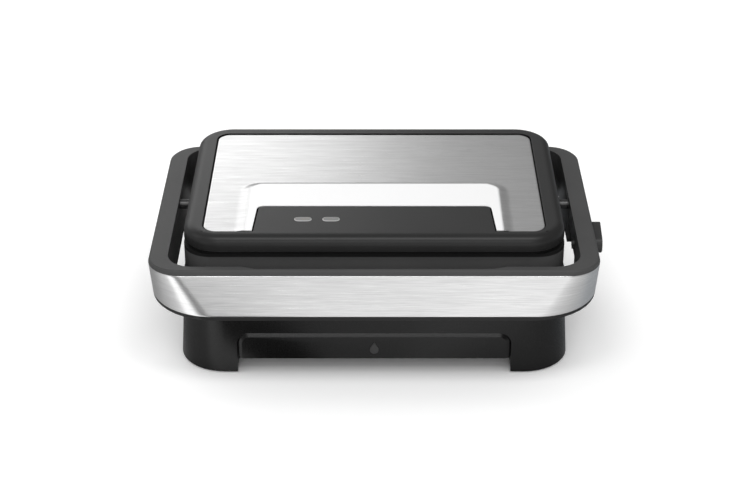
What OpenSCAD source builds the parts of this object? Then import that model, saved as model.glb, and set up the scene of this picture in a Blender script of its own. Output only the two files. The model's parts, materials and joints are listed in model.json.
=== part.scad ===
// Contact grill with ribbed plates and a floating lid carried in a ring-shaped handle.
// Millimetres. X points to the right, Y to the back and Z up.
// The origin lies on the table, under the middle of the base.
// The base stays on the table. The ring turns on two hinges behind it, and the lid hangs in the ring on two pins.

/* [Cooking plates] */
// Width of both cooking plates
plate_w = 270; // [240:1:300]
// Depth of both cooking plates
plate_d = 165; // [150:1:190]
// Corner radius of the plates
plate_r = 14; // [9:1:20]
// Thickness of a plate under its ribs
plate_t = 4.6; // [3.6:0.1:5.6]
// Height of the ribs
rib_h = 5; // [3:0.5:6]
// Distance from one rib to the next
rib_pitch = 9.6; // [8:0.2:14]
// Width of a rib at its foot
rib_foot = 4.6; // [3.4:0.2:6]
// Width of a rib along its top
rib_top = 2.4; // [1.4:0.2:3.4]
// How far the lower ribs stand above the base rim
rib_proud = 1.5; // [0:0.25:2]
// Width of the grease gutter along the front of a plate
gutter_w = 13; // [9:0.5:18]
// Inner radius of the drain in the lower plate
drain_r = 4.2; // [3:0.1:4.6]

/* [Base] */
// Height of the base rim above the table
base_h = 74.5; // [72:0.5:90]
// Width of the deck beside the plate
deck_side = 11.5; // [10:0.5:20]
// Width of the deck before and behind the plate
deck_front = 6.3; // [6:0.1:12]
// How far each outer wall leans out from the rim down to the table
base_lean = 5; // [2:0.1:6]
// Corner radius of the base at the table
base_r = 36; // [26:1:42]
// Thickness of the plastic walls
wall = 2.6; // [2:0.1:3.2]
// Height of the rubber feet under the base walls
foot_lift = 1; // [0.6:0.1:2]
// Radius of the rubber feet
foot_r = 8.5; // [6:0.5:9]

/* [Drip tray] */
// Width of the tray's front
tray_w = 209.8; // [180:0.2:214]
// Height of the tray's underside above the table
tray_lift = 12.4; // [9:0.2:15]
// Height of the tray's front
tray_h = 21.3; // [18:0.1:24]
// Length of the tray behind its front
tray_d = 135; // [110:1:140]
// Width of the slope along the top and sides of the tray's front
tray_chamfer = 3; // [1.5:0.25:4]
// How far that slope leans back
tray_chamfer_d = 1.5; // [1:0.1:3]
// Radius of the upper corners of the tray's front
tray_r = 9; // [6:0.5:12]

/* [Ring handle] */
// Width of the gap between the base rim and a side arm
arm_gap = 8; // [7:0.5:12]
// Width of a side arm
arm_w = 14.8; // [13.6:0.2:20]
// Width of the finger gap between the base rim and the grip bar
finger_gap = 19.7; // [16:0.1:34]
// Thickness of the grip bar along its top
bar_top = 7; // [6:0.5:10]
// Thickness of the grip bar along its foot
bar_foot = 14.5; // [13:0.5:20]
// Height of the ring
ring_h = 38; // [35:0.5:44]
// How far the ring reaches down below the base rim
ring_drop = 10; // [7:0.5:11]
// Outer corner radius at the front of the ring, along its foot
ring_r = 51; // [40:1:54]
// How much smaller that radius is along the top
ring_r_taper = 28; // [10:0.5:30]
// Corner radius at the back of the ring
ring_back_r = 25; // [22:1:30]
// Gap between the base rim and the ring's back wall
back_gap = 3.7; // [3.2:0.1:6]
// Thickness of the ring's back wall
back_wall = 5.5; // [4:0.5:8]
// Thickness of the steel band round the grip
band_t = 0.8; // [0.5:0.1:1.2]
// Height of the plastic rim above the steel band
band_rim = 3.7; // [2.5:0.1:6]

/* [Hinges and pivots] */
// Distance of each hinge from the middle of the grill
hinge_x = 95; // [70:1:110]
// Radius of the hinge knuckles
knuckle_r = 6; // [5:0.25:6.5]
// Radius of the hinge pins
hinge_pin_r = 2.4; // [1.8:0.1:3]
// Radius of the pins that the lid tilts on
pivot_r = 3.9; // [3:0.1:4.4]
// How far behind the middle of the grill the lid's pins lie
pivot_y = 6; // [2:1:14]

/* [Lid] */
// Gap between the closed lid and the base rim
lid_gap = 3.5; // [3:0.1:5]
// Gap between the lid's sides and the ring's arms
lid_side_gap = 9.9; // [8:0.1:14]
// How far the lid's body reaches past the plate at front and back
lid_lip = 5; // [4.6:0.1:5.6]
// Corner radius of the lid's body
lid_r = 21; // [18:1:26]
// Height of the lid's body up to the shadow groove under its cover
lid_body_h = 23.5; // [21:0.5:24]
// Clear height between the ring's top and the lid's cover
cover_gap = 3.1; // [2.5:0.1:6]
// Height of the lid's cover
cover_h = 12.2; // [11:0.2:18]
// How far the cover stands out over the front of the lid's body
cover_front = 4.5; // [3.8:0.1:8]
// How far the cover stands out over the back of the lid's body
cover_back = 15.6; // [12:0.1:22]
// Corner radius of the cover
cover_r = 28; // [24:1:34]

/* [Lid panel and lamps] */
// Width of the black border beside the steel panel
border_side = 16; // [12:0.5:24]
// Width of the black border in front of the steel panel
border_front = 11.6; // [9:0.2:16]
// Width of the black border behind the steel panel
border_back = 15; // [10:0.5:24]
// Thickness of the steel panel
panel_t = 0.8; // [0.5:0.1:1.2]
// How far the panel lies below the top of the cover
panel_sink = 0.8; // [0.4:0.1:1.2]
// Corner radius of the steel panel
panel_r = 9.5; // [6:0.5:14]
// Width of the display field cut into the front of the panel
field_w = 185; // [150:1:196]
// Depth of that field
field_d = 39.8; // [34:0.2:46]
// Depth of the pressed hollow in the panel
press_h = 1.6; // [0.8:0.1:1.8]
// Width of the pressed hollow at the panel's face
press_w = 211; // [206:1:220]
// Length of the pressed hollow behind the panel's front edge
press_d = 81; // [60:0.5:100]
// Length of an indicator lens
lens_w = 12.2; // [9:0.2:16]
// Width of an indicator lens
lens_d = 5.5; // [4:0.1:7]
// Distance between the two lenses
lens_pitch = 21.3; // [18:0.1:28]
// Where the middle of the two lenses lies, left of the middle of the lid
lens_x = 43.4; // [20:0.2:60]
// Distance of the lenses behind the front edge of the panel
lens_y = 17.8; // [10:0.2:28]

/* [Lock] */
// How far in front of the middle of the grill the lock's axis lies
lock_y = 44; // [38:1:52]
// Radius of the lock's knob
knob_r = 7; // [6:0.25:9]
// Thickness of the lock's knob
knob_t = 6.6; // [5:0.2:9]
// Radius of the lock's shaft
lock_shaft_r = 4; // [3:0.1:4.6]
// Distance from the lock's axis down to the stud in the base
stud_reach = 34.5; // [32:0.5:38]
// Radius of that stud
stud_r = 2.6; // [2:0.1:3]

/* [Hidden] */

$fn = 48;
// Number of straight steps in each rounded corner of an outline
arc_n = 10;
// Thickness of the thin layers that a drafted or rounded block is spanned between
skin = 0.05;
// Overlap that joins two shapes of one piece, and by which cuts run past a face
eps = 0.5;

// Clearances
plate_fit = 0.8;       // round a plate in its well
cover_fit = 0.4;       // round a cover inside its housing
tray_fit = 0.5;        // round the tray's front in the mouth of the base
slide_fit = 0.3;       // between the tray's runners and the rails
run_fit = 0.05;        // radial, round a pin that turns
press_fit = 0.02;      // radial, round a pin that is pressed in
panel_fit = 0.3;       // round the steel panel in its pocket
band_fit = 0.05;       // behind the steel band
side_fit = 0.4;        // between hinge knuckles, and beside turning levers
screw_fit = 0.3;       // radial, round a screw in a clear hole
touch = 0.1;           // between a heating element and the plate it heats

// Colours
black = [0.13, 0.13, 0.13];
dark = [0.20, 0.20, 0.20];
steel = [0.78, 0.78, 0.77];
alloy = [0.62, 0.63, 0.64];
coating = [0.10, 0.10, 0.11];

// Heights of the base and its plate
deck_t = 3;
shelf_t = 2.4;
plate_z = base_h + rib_proud - rib_h - plate_t;
shelf_z = plate_z - shelf_t;
plate_edge_h = plate_t + rib_h - rib_proud + 0.4;

// Plan sizes of the base
rim_w = plate_w + 2 * deck_side;
rim_d = plate_d + 2 * deck_front;
front_y = -rim_d / 2 - base_lean;
lean_angle = atan(base_lean / base_h);
shelf_side = 13;
shelf_front = 10.5;
pan_fit = 1;
pan_t = 0.8;
pan_h = 13;
pan_flange = 10;
edge_t = 3;
rib_end = 7;
rib_side = 9;

// Bottom cover and the tunnel that the tray slides in
cover_lift = foot_lift + 2.4;
cover_top = cover_lift + wall;
tunnel_w = tray_w + 2 * tray_fit;
tunnel_t = 2.4;
tunnel_top = tray_lift + tray_h + 1.1;
rail_w = 6;
rail_t = 2.4;
runner_t = 2;
basin_top = tray_lift + tray_h - 4.4;
runner_top = tray_lift + tray_h - tray_r;
rail_top = runner_top - runner_t - slide_fit;
tray_front_t = 5;
tray_front_y1 = front_y + tray_front_t + (tray_lift + tray_h) * tan(lean_angle);
tray_back = front_y + tray_front_t + tray_d;
tunnel_back = tray_back + 6;
drain_y = -plate_d / 2 + 21;
drain_wall = 1.8;

// Screws
screw_r = 1.5;
screw_head_r = 2.9;
screw_head_h = 2;
boss_r = 4.5;
boss_side_x = plate_w / 2 + 5.5;
boss_back_y = rim_d / 2 - 4.8;
base_screw_at = [
    [-boss_side_x, -50], [boss_side_x, -50], [-boss_side_x, 45], [boss_side_x, 45],
    [-62, boss_back_y], [62, boss_back_y]
];
plate_screw_x = plate_w / 2 - 6;
plate_screw_y = plate_d / 2 - 37.5;
foot_x = plate_w / 2 - 9;
foot_y = plate_d / 2 - 10;
cover_screw_l = 12;
stat_y = 8;
fuse_x = plate_w / 2 - 89;
fuse_y = 12;

// Ring
ring_z0 = base_h - ring_drop;
ring_z1 = ring_z0 + ring_h;
under_t = 2.8;
split_z = ring_z0 + under_t;
ring_in_w = rim_w + 2 * arm_gap;
ring_w = ring_in_w + 2 * arm_w;
ring_in_y0 = -rim_d / 2 - finger_gap;
ring_in_y1 = rim_d / 2 + back_gap;
ring_y1 = ring_in_y1 + back_wall;
ring_in_r = ring_back_r - back_wall;
arm_x = ring_in_w / 2;
arm_mid_x = arm_x + arm_w / 2;
ring_bow = 0.05;
band_end_y = -rim_d / 2 + 7.8;
under_end_y = ring_y1 - ring_back_r;
scoop_w = 176;
scoop_r = 12;
scoop_cut = 3.3;
scoop_taper = 14;
bar_screw_x = [-100, 0, 100];
bar_screw_y = ring_in_y0 - 5.6;
arm_screw_y = [-72, 22];
bar_pocket_h = 12;
under_sink = 1.6;
under_screw_l = under_t + 5.2;

// Hinges
hinge_y = ring_y1 + knuckle_r + 1;
hinge_z = split_z + 2.7;
hinge_base_w = 14;
hinge_ring_w = 7.6;
ear_neck_r = 3.2;

// Lid
lid_z0 = base_h + lid_gap;
lid_z1 = lid_z0 + lid_body_h;
lid_w = ring_in_w - 2 * lid_side_gap;
lid_y = plate_d / 2 + lid_lip;
cover_z0 = ring_z1 + cover_gap;
cover_z1 = cover_z0 + cover_h;
cover_w = ring_in_w - 2 * lid_side_gap - 0.2;
cover_y0 = -lid_y - cover_front;
cover_y1 = lid_y + cover_back;
cover_void = cover_z1 - 5.6;
neck_w = cover_w - 2 * wall - 1;
neck_y = lid_y - 0.6;
neck_t = 2.4;
neck_r = cover_r - 4;
flange_z = cover_z0 + 0.6;
flange_t = 2;
lid_boss_x = plate_w / 2 - 4;
lid_boss_y = plate_d / 2 - 6;
upper_rib_proud = 1;
upper_plate_z = lid_z0 - upper_rib_proud + rib_h + plate_t;
lid_boss_z0 = upper_plate_z + shelf_t + pan_t + screw_head_h + 0.6;
pivot_z = ring_z1 - 7.5;
bush_wall = 2.6;
bush_flange_t = 1.5;
bush_flange_r = 8.5;
pivot_head_r = 5;
pivot_head_t = 2;
pivot_grip = 9.7;
pivot_in_x = lid_w / 2 - 10;

// Panel
panel_z1 = cover_z1 - panel_sink;
panel_w = cover_w - 2 * border_side;
panel_y0 = cover_y0 + border_front;
panel_y1 = cover_y1 - border_back;
field_r = 5;
field_taper = 2.5;
press_slope_x = 13.5;
press_slope_y = 3;
lens_at = [-lens_x - lens_pitch / 2, -lens_x + lens_pitch / 2];
lens_cy = panel_y0 + lens_y;
lens_proud = 0.3;
board_t = 1.6;
board_z = cover_void - 2.7 - board_t;
lamp_r = 2.3;

// Lock
lock_z = ring_z1 - 16;
stud_z = lock_z - stud_reach;
stud_in = 6;
hook_t = 3;
hook_gap = 0.3;
pocket_d = hook_t + 2 * hook_gap + 0.1;
hook_x = arm_x + hook_gap;
hook_end = stud_reach + stud_r + 4.5;
slot_r = stud_r + 0.3;
hook_back = 7;
hook_lead = 4;
lock_screw_l = 8;
knob_x = arm_x + arm_w + side_fit;
tab_y = 14.5;
tab_z = 6.5;
tab_r = 4.5;
spigot_r = 2.8;

// Points of a rectangle from y0 to y1 with rounded corners: radius r0 at y0 and radius r1 at y1.
function corner(cx, cy, r, a) = [for (i = [0 : arc_n]) [cx + r * cos(a + 90 * i / arc_n), cy + r * sin(a + 90 * i / arc_n)]];
function outline(w, y0, y1, r0, r1) = concat(
    corner(w / 2 - r1, y1 - r1, r1, 0), corner(-w / 2 + r1, y1 - r1, r1, 90),
    corner(-w / 2 + r0, y0 + r0, r0, 180), corner(w / 2 - r0, y0 + r0, r0, 270)
);

// A prism of an outline between two heights
module slab(z0, z1, points) {
    translate([0, 0, z0]) linear_extrude(z1 - z0) polygon(points);
}

// A thin layer for hull()
module layer(z, points) {
    translate([0, 0, z]) linear_extrude(skin) polygon(points);
}

// Places a drawing of the Y-Z plane across X, with its thickness w centred on x
module across(x, w) {
    translate([x - w / 2, 0, 0]) rotate([90, 0, 90]) linear_extrude(w) children();
}

// A cylinder along X, from x0 to x1
module rod_x(x0, x1, y, z, r) {
    translate([x0, y, z]) rotate([0, 90, 0]) cylinder(h = x1 - x0, r = r);
}

// A screw with its head down at z and its shank up
module screw_up(x, y, z, length) {
    translate([x, y, z]) cylinder(h = screw_head_h, r = screw_head_r);
    translate([x, y, z + screw_head_h - eps]) cylinder(h = length + eps, r = screw_r);
}

// Copies on both sides of the middle
module both_sides() {
    children();
    mirror([1, 0, 0]) children();
}

// ---- Base ----

// The base's outer walls lean out towards the table.
function base_grow(z) = base_lean * (1 - z / base_h);
function base_points(z, inset) = outline(
    rim_w + 2 * (base_grow(z) - inset),
    -rim_d / 2 - base_grow(z) + inset, rim_d / 2 + base_grow(z) - inset,
    base_r - base_lean + base_grow(z) - inset, base_r - base_lean + base_grow(z) - inset
);

module base_block(z0, z1, inset) {
    hull() {
        layer(z0, base_points(z0, inset));
        layer(z1 - skin, base_points(z1, inset));
    }
}

// Rounded rectangle about the plate, grown by g at the sides and h at front and back
function plate_points(g, h, r) = outline(plate_w + 2 * g, -plate_d / 2 - h, plate_d / 2 + h, r, r);

// The plate's well: an upright skirt under the deck and a shelf that carries the plate's edge
module base_well() {
    skirt_t = 2.4;
    difference() {
        slab(shelf_z, base_h - eps, plate_points(plate_fit + skirt_t, plate_fit + skirt_t, plate_r + plate_fit + skirt_t));
        slab(shelf_z - eps, base_h, plate_points(-shelf_side, -shelf_front, plate_r));
    }
}

// Outline of the tray's front in X and Z, made smaller by c along its top and sides
function tray_points(c, down) = outline(tray_w - 2 * c, tray_lift - down, tray_lift + tray_h - c, 1, tray_r - c);

// Raised drop in the middle of the tray's front: a circle of mark_r with a point mark_tip above its centre
mark_r = 3.4;
mark_tip = 6.6;
mark_t = 0.4;
mark_z = tray_lift + 0.36 * tray_h;
function mark_points() = [
    for (a = [-210 : 20 : 30]) [mark_r * cos(a), mark_z + mark_r * sin(a)],
    [0, mark_z + mark_tip]
];

module front_prism(y0, y1, points) {
    translate([0, y1, 0]) rotate([90, 0, 0]) linear_extrude(y1 - y0) polygon(points);
}

// Hinge ear of the base: it passes under the ring's back wall and rises to the pin behind it
module base_ear(x) {
    neck_y = hinge_y - 1.5;
    neck_z = split_z - 1.2 - ear_neck_r;
    root_y = rim_d / 2 - 0.6;
    difference() {
        union() {
            across(x, hinge_base_w) hull() {
                translate([hinge_y, hinge_z]) circle(r = knuckle_r);
                translate([neck_y, neck_z]) circle(r = ear_neck_r);
            }
            across(x, hinge_base_w) hull() {
                translate([neck_y, neck_z]) circle(r = ear_neck_r);
                translate([root_y, neck_z - 14]) square([1, 14 + ear_neck_r - 0.6]);
            }
        }
        rod_x(x - hinge_base_w, x + hinge_base_w, hinge_y, hinge_z, hinge_pin_r + run_fit);
    }
}

// Bosses for the screws of the bottom cover, joined to the walls by webs
module base_bosses() {
    boss_top = shelf_z - pan_t - 5;
    intersection() {
        base_block(cover_top, boss_top, wall / 2);
        union() {
            for (p = base_screw_at) {
                translate([p[0], p[1], cover_top]) cylinder(h = boss_top, r = boss_r);
                web = abs(p[0]) > plate_w / 2 ? [sign(p[0]), 0] : [0, 1];
                translate([p[0] + 6 * web[0], p[1] + 6 * web[1], cover_top + boss_top / 2])
                    cube([web[0] == 0 ? 2 : 12, web[0] == 0 ? 12 : 2, boss_top], center = true);
            }
        }
    }
}

gland_x = 72;
gland_z = 27;
gland_r = 7.5;
gland_bore = 3.75;
gland_flange_r = 10.5;
gland_seat_y = rim_d / 2 + base_grow(gland_z) + 0.9;

module base_housing() color(black) {
    difference() {
        union() {
            difference() {
                base_block(foot_lift, base_h, 0);
                base_block(foot_lift - eps, base_h - deck_t, wall);
                slab(base_h - deck_t - eps, base_h + eps, plate_points(plate_fit, plate_fit, plate_r + plate_fit));
            }
            difference() {
                base_well();
                slab(plate_z, base_h + eps, plate_points(plate_fit, plate_fit, plate_r + plate_fit));
            }
            base_bosses();
            both_sides() base_ear(hinge_x);
            // boss for the stud that the lock's hook closes on
            rod_x(rim_w / 2 - stud_in - 2, rim_w / 2 - 1, -lock_y, stud_z, stud_r + 2.2);
            // flat seat round the cord's entry
            translate([gland_x, gland_seat_y, gland_z]) rotate([90, 0, 0]) cylinder(h = wall, r = gland_flange_r + 1.5);
        }
        front_prism(front_y - eps, front_y + 12, tray_points(-tray_fit, tray_lift));
        translate([gland_x, gland_seat_y + eps, gland_z]) rotate([90, 0, 0]) cylinder(h = 12, r = gland_r + press_fit);
        rod_x(rim_w / 2 - stud_in, rim_w / 2 + base_lean + 1, -lock_y, stud_z, stud_r + press_fit);
        for (p = base_screw_at)
            translate([p[0], p[1], cover_top - eps]) cylinder(h = 16, r = screw_r);
        for (x = [-plate_screw_x, plate_screw_x], y = [-plate_screw_y, plate_screw_y])
            translate([x, y, shelf_z - eps]) cylinder(h = shelf_t + 2 * eps, r = screw_r + screw_fit);
    }
}

vent_n = 5;
vent_pitch = 9;
vent_w = 3;
vent_l = 22;

module base_bottom_cover() color(dark) {
    tunnel_y0 = -rim_d / 2 - base_grow(tunnel_top + tunnel_t) + wall + cover_fit;
    rail_y0 = tray_front_y1 + tray_fit;
    difference() {
        union() {
            difference() {
                slab(cover_lift, cover_top, base_points(cover_top, wall + cover_fit));
                translate([-tunnel_w / 2, -rim_d, cover_lift - eps]) cube([tunnel_w, rim_d + tunnel_back, wall + 2 * eps]);
            }
            // tunnel over the tray
            difference() {
                translate([-tunnel_w / 2 - tunnel_t, tunnel_y0, cover_lift])
                    cube([tunnel_w + 2 * tunnel_t, tunnel_back + tunnel_t - tunnel_y0, tunnel_top + tunnel_t - cover_lift]);
                translate([-tunnel_w / 2, tunnel_y0 - eps, cover_lift - eps])
                    cube([tunnel_w, tunnel_back + eps - tunnel_y0, tunnel_top + eps - cover_lift]);
            }
            // rails for the tray's runners
            both_sides() translate([tunnel_w / 2 - rail_w, rail_y0, rail_top - rail_t])
                cube([rail_w + eps, tunnel_back + eps - rail_y0, rail_t]);
        }
        // way for the grease
        translate([0, drain_y, tunnel_top - eps]) cylinder(h = tunnel_t + 2 * eps, r = drain_r + drain_wall + 1);
        // vents beside the tunnel
        both_sides() for (i = [0 : vent_n - 1])
            translate([tunnel_w / 2 + tunnel_t + 3.5, (i - (vent_n - 1) / 2) * vent_pitch - vent_w / 2, cover_lift - eps])
                cube([vent_l, vent_w, wall + 2 * eps]);
        for (p = base_screw_at) {
            translate([p[0], p[1], cover_lift - eps]) cylinder(h = wall + 2 * eps, r = screw_r + screw_fit);
            translate([p[0], p[1], cover_lift - eps]) cylinder(h = 1 + eps, r = screw_head_r + screw_fit);
        }
        for (x = [-foot_x, foot_x], y = [-foot_y, foot_y])
            translate([x, y, cover_lift - eps]) cylinder(h = wall + 2 * eps, r = foot_stem_r + press_fit);
    }
}

foot_stem_r = 2.6;

// Push-in rubber feet: pad, stem through the cover and a bead above it
module rubber_feet() color([0.08, 0.08, 0.08]) {
    bead = 0.8;
    for (x = [-foot_x, foot_x], y = [-foot_y, foot_y])
        translate([x, y, 0]) rotate_extrude() polygon([
            [0, 0], [foot_r - 1, 0], [foot_r, 0.8], [foot_r, cover_lift], [foot_stem_r, cover_lift],
            [foot_stem_r, cover_top], [foot_stem_r + bead, cover_top], [foot_stem_r, cover_top + 2.4], [0, cover_top + 2.4]
        ]);
}

module base_screws() color(alloy) {
    for (p = base_screw_at) screw_up(p[0], p[1], cover_lift + 1 - screw_head_h, cover_screw_l);
}

// ---- Plates and heating, drawn with the back of the plate at z = 0 and the ribs up ----

module ribs() {
    n = floor((plate_w / 2 - rib_side) / rib_pitch);
    y0 = -plate_d / 2 + gutter_w;
    y1 = plate_d / 2 - rib_end;
    slope = 3;
    intersection() {
        for (i = [-n : n])
            translate([i * rib_pitch, y1, 0]) rotate([90, 0, 0]) linear_extrude(y1 - y0)
                polygon([
                    [-rib_foot / 2, plate_t - eps], [rib_foot / 2, plate_t - eps],
                    [rib_top / 2, plate_t + rib_h], [-rib_top / 2, plate_t + rib_h]
                ]);
        across(0, plate_w) polygon([
            [y0, plate_t - eps], [y1, plate_t - eps], [y1 - slope, plate_t + rib_h], [y0 + slope, plate_t + rib_h]
        ]);
    }
}

module cooking_plate(with_drain) {
    difference() {
        union() {
            slab(0, plate_t, plate_points(0, 0, plate_r));
            difference() {
                slab(plate_t - eps, plate_edge_h, plate_points(0, 0, plate_r));
                slab(plate_t - eps, plate_edge_h + eps, plate_points(-edge_t, -edge_t, plate_r - edge_t));
            }
            ribs();
            if (with_drain) translate([0, drain_y, tunnel_top - 1 - plate_z])
                cylinder(h = plate_z - tunnel_top + 1 + eps, r = drain_r + drain_wall);
        }
        if (with_drain) {
            translate([0, drain_y, tunnel_top - 2 - plate_z]) cylinder(h = plate_z, r = drain_r);
            translate([-7, -plate_d / 2 + edge_t + 1, plate_t - 1.2]) cube([14, drain_y + plate_d / 2 - edge_t - 1, 8]);
        }
        for (x = [-plate_screw_x, plate_screw_x], y = [-plate_screw_y, plate_screw_y])
            translate([x, y, -eps]) cylinder(h = 3.4 + eps, r = screw_r);
    }
}

element_r = 3.3;
bend_r = 12;
element_x = plate_w / 2 - 31;
element_y = plate_d / 2 - 36.5;
element_end_x = 16;
element_end_y = plate_d / 2 - 18.5;
pin_l = 5.5;

module bend(cx, cy, a) {
    translate([cx, cy, 0]) rotate([0, 0, a]) rotate_extrude(angle = 90)
        translate([bend_r, 0]) circle(r = element_r);
}

// Tubular heating element lying along z = 0: a loop round the plate, open at the back
module heating_element() {
    both_sides() {
        translate([element_end_x, element_end_y, 0]) rotate([90, 0, 0])
            cylinder(h = element_end_y - element_y - bend_r, r = element_r);
        translate([element_end_x, element_end_y + pin_l, 0]) rotate([90, 0, 0]) cylinder(h = pin_l, r = 1.6);
        bend(element_end_x + bend_r, element_y + bend_r, 180);
        rod_x(element_end_x + bend_r, element_x - bend_r, element_y, 0, element_r);
        bend(element_x - bend_r, element_y - bend_r, 0);
        translate([element_x, element_y - bend_r, 0]) rotate([90, 0, 0])
            cylinder(h = 2 * (element_y - bend_r), r = element_r);
        bend(element_x - bend_r, -element_y + bend_r, 270);
    }
    rod_x(-element_x + bend_r, element_x - bend_r, -element_y, 0, element_r);
}

// Bent clip that holds the element up against the plate, in the X-Z plane, with the plate's back at z = 0
module element_clip() {
    clip_t = 1;
    clip_w = 9;
    gap = 0.15;
    lug = 7;
    centre = -element_r - touch;
    translate([0, clip_w / 2, 0]) rotate([90, 0, 0]) linear_extrude(clip_w) {
        difference() {
            translate([0, centre]) circle(r = element_r + gap + clip_t);
            translate([0, centre]) circle(r = element_r + gap);
            translate([-20, centre]) square([40, 20]);
        }
        for (s = [-1, 1]) {
            translate([s * (element_r + gap + clip_t / 2) - clip_t / 2, centre - 0.2]) square([clip_t, 0.2 - centre]);
            translate([s > 0 ? element_r + gap : -element_r - gap - lug, -clip_t]) square([lug, clip_t]);
        }
    }
}

module element_clips() {
    both_sides() translate([element_x, 0, 0]) element_clip();
    both_sides() translate([element_x / 2, -element_y, 0]) rotate([0, 0, 90]) element_clip();
}

// Bright pan behind the element. The flange lies at z = 0 and the pan reaches down.
module reflector(with_drain) {
    difference() {
        union() {
            slab(-pan_h, 0, plate_points(-shelf_side - pan_fit, -shelf_front - pan_fit, plate_r));
            slab(-pan_t, 0, plate_points(pan_flange - shelf_side, pan_flange - shelf_front - 1, plate_r));
        }
        slab(-pan_h + pan_t, eps, plate_points(-shelf_side - pan_fit - pan_t, -shelf_front - pan_fit - pan_t, plate_r - pan_t));
        for (x = [-plate_screw_x, plate_screw_x], y = [-plate_screw_y, plate_screw_y])
            translate([x, y, -pan_t - eps]) cylinder(h = pan_t + 2 * eps, r = screw_r + screw_fit);
        for (s = [-1, 1])
            translate([s * element_end_x, element_end_y - 2, -pan_h - eps]) cylinder(h = pan_t + 2 * eps, r = 4);
        if (with_drain)
            translate([0, drain_y, -pan_h - eps]) cylinder(h = pan_t + 2 * eps, r = drain_r + drain_wall + 1);
    }
}

// Snap disc thermostat under the plate: cap against the plate, body and two blades
module thermostat() {
    translate([0, 0, -2]) cylinder(h = 2, r = 9);
    translate([0, 0, -7.5]) cylinder(h = 6, r = 7.6);
    for (s = [-1, 1]) translate([s * 4.5 - 3, -0.4, -11]) cube([6, 0.8, 4]);
}

// Thermal fuse in its clip, along X
module thermal_fuse() {
    body_l = 14;
    lead_l = 26;
    clip_w = 8;
    strap_d = 12;
    strap_t = 0.6;
    clip_d = 5.2;
    clip_h = 3;
    rod_x(-body_l / 2, body_l / 2, 0, -2.4, 2);
    rod_x(-lead_l / 2, lead_l / 2, 0, -2.4, 0.6);
    translate([-clip_w / 2, -strap_d / 2, -strap_t]) cube([clip_w, strap_d, strap_t]);
    translate([-clip_w / 2, -clip_d / 2, -clip_h]) cube([clip_w, clip_d, clip_h]);
}

module plate_screws(z) {
    for (x = [-plate_screw_x, plate_screw_x], y = [-plate_screw_y, plate_screw_y]) screw_up(x, y, z, pan_t + shelf_t + 3);
}

module lower_plate() color(coating) translate([0, 0, plate_z]) cooking_plate(true);
module lower_heating_element() color(alloy) translate([0, 0, plate_z - element_r - touch]) heating_element();
module lower_element_clips() color(steel) translate([0, 0, plate_z]) element_clips();
module lower_reflector() color(steel) translate([0, 0, shelf_z]) reflector(true);
module lower_thermostat() color([0.75, 0.7, 0.6]) translate([0, stat_y, plate_z]) thermostat();
module lower_thermal_fuse() color(steel) translate([fuse_x, fuse_y, plate_z]) thermal_fuse();
module lower_plate_screws() color(alloy) plate_screws(shelf_z - pan_t - screw_head_h);

module upper_plate() color(coating) translate([0, 0, upper_plate_z]) mirror([0, 0, 1]) cooking_plate(false);
module upper_heating_element() color(alloy) translate([0, 0, upper_plate_z + element_r + touch]) heating_element();
module upper_element_clips() color(steel) translate([0, 0, upper_plate_z]) mirror([0, 0, 1]) element_clips();
module upper_reflector() color(steel) translate([0, 0, upper_plate_z + shelf_t]) mirror([0, 0, 1]) reflector(false);
module upper_thermal_fuse() color(steel) translate([fuse_x, fuse_y, upper_plate_z]) mirror([0, 0, 1]) thermal_fuse();
module upper_plate_screws() color(alloy)
    translate([0, 0, upper_plate_z + shelf_t + pan_t + screw_head_h]) mirror([0, 0, 1]) plate_screws(0);

// Three-way terminal block on the bottom cover, behind the tunnel
block_x = 38;
block_gap = 10;
block_y = tunnel_back + tunnel_t + block_gap;

module terminal_block() color([0.85, 0.84, 0.8]) {
    block_w = 33;
    block_d = 15;
    block_h = 13;
    difference() {
        translate([block_x - block_w / 2, block_y - block_d / 2, cover_top]) cube([block_w, block_d, block_h]);
        for (i = [-1 : 1]) {
            translate([block_x + i * 10.5, block_y + block_d, cover_top + 4.5]) rotate([90, 0, 0])
                cylinder(h = 2 * block_d, r = 2.2);
            translate([block_x + i * 10.5, block_y, cover_top + 4.5]) cylinder(h = block_h, r = 2);
        }
    }
}

// Bushing where the supply cord enters, pressed into the back wall
module cord_gland() color(dark) {
    nose = 7;
    difference() {
        translate([gland_x, gland_seat_y, gland_z]) rotate([-90, 0, 0]) rotate_extrude() polygon([
            [0, -9], [gland_r, -9], [gland_r, 0], [gland_flange_r, 0], [gland_flange_r, 1.6],
            [gland_r - 0.5, 2.6], [gland_r - 2, nose], [0, nose]
        ]);
        translate([gland_x, gland_seat_y - 10, gland_z]) rotate([-90, 0, 0]) cylinder(h = 20, r = gland_bore);
    }
}

// ---- Drip tray ----

module drip_tray() color(black) {
    basin_w = tray_w - 2 * (rail_w + 0.6);
    basin_z0 = tray_lift + 1.4;
    basin_t = 1.8;
    difference() {
        union() {
            // front, leaning back with the wall round it
            translate([0, front_y, 0]) rotate([-lean_angle, 0, 0]) {
                hull() {
                    front_prism(0, skin, tray_points(tray_chamfer, 0));
                    front_prism(tray_chamfer_d - skin, tray_chamfer_d, tray_points(0, 0));
                }
                front_prism(tray_chamfer_d - skin / 2, tray_front_t, tray_points(0, 0));
                front_prism(-mark_t, 1, mark_points());
            }
            slab(basin_z0, basin_top, outline(basin_w, front_y + tray_front_t - 1, tray_back, 3, 10));
            both_sides() translate([basin_w / 2 - 12, front_y + tray_front_t - 1, runner_top - runner_t])
                cube([tray_w / 2 - basin_w / 2 + 12 - slide_fit, tray_d - 10, runner_t]);
        }
        slab(basin_z0 + basin_t, basin_top + eps,
            outline(basin_w - 2 * basin_t, front_y + tray_front_t + 2.5, tray_back - basin_t, 6, 8));
    }
}

// ---- Ring handle ----

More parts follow.
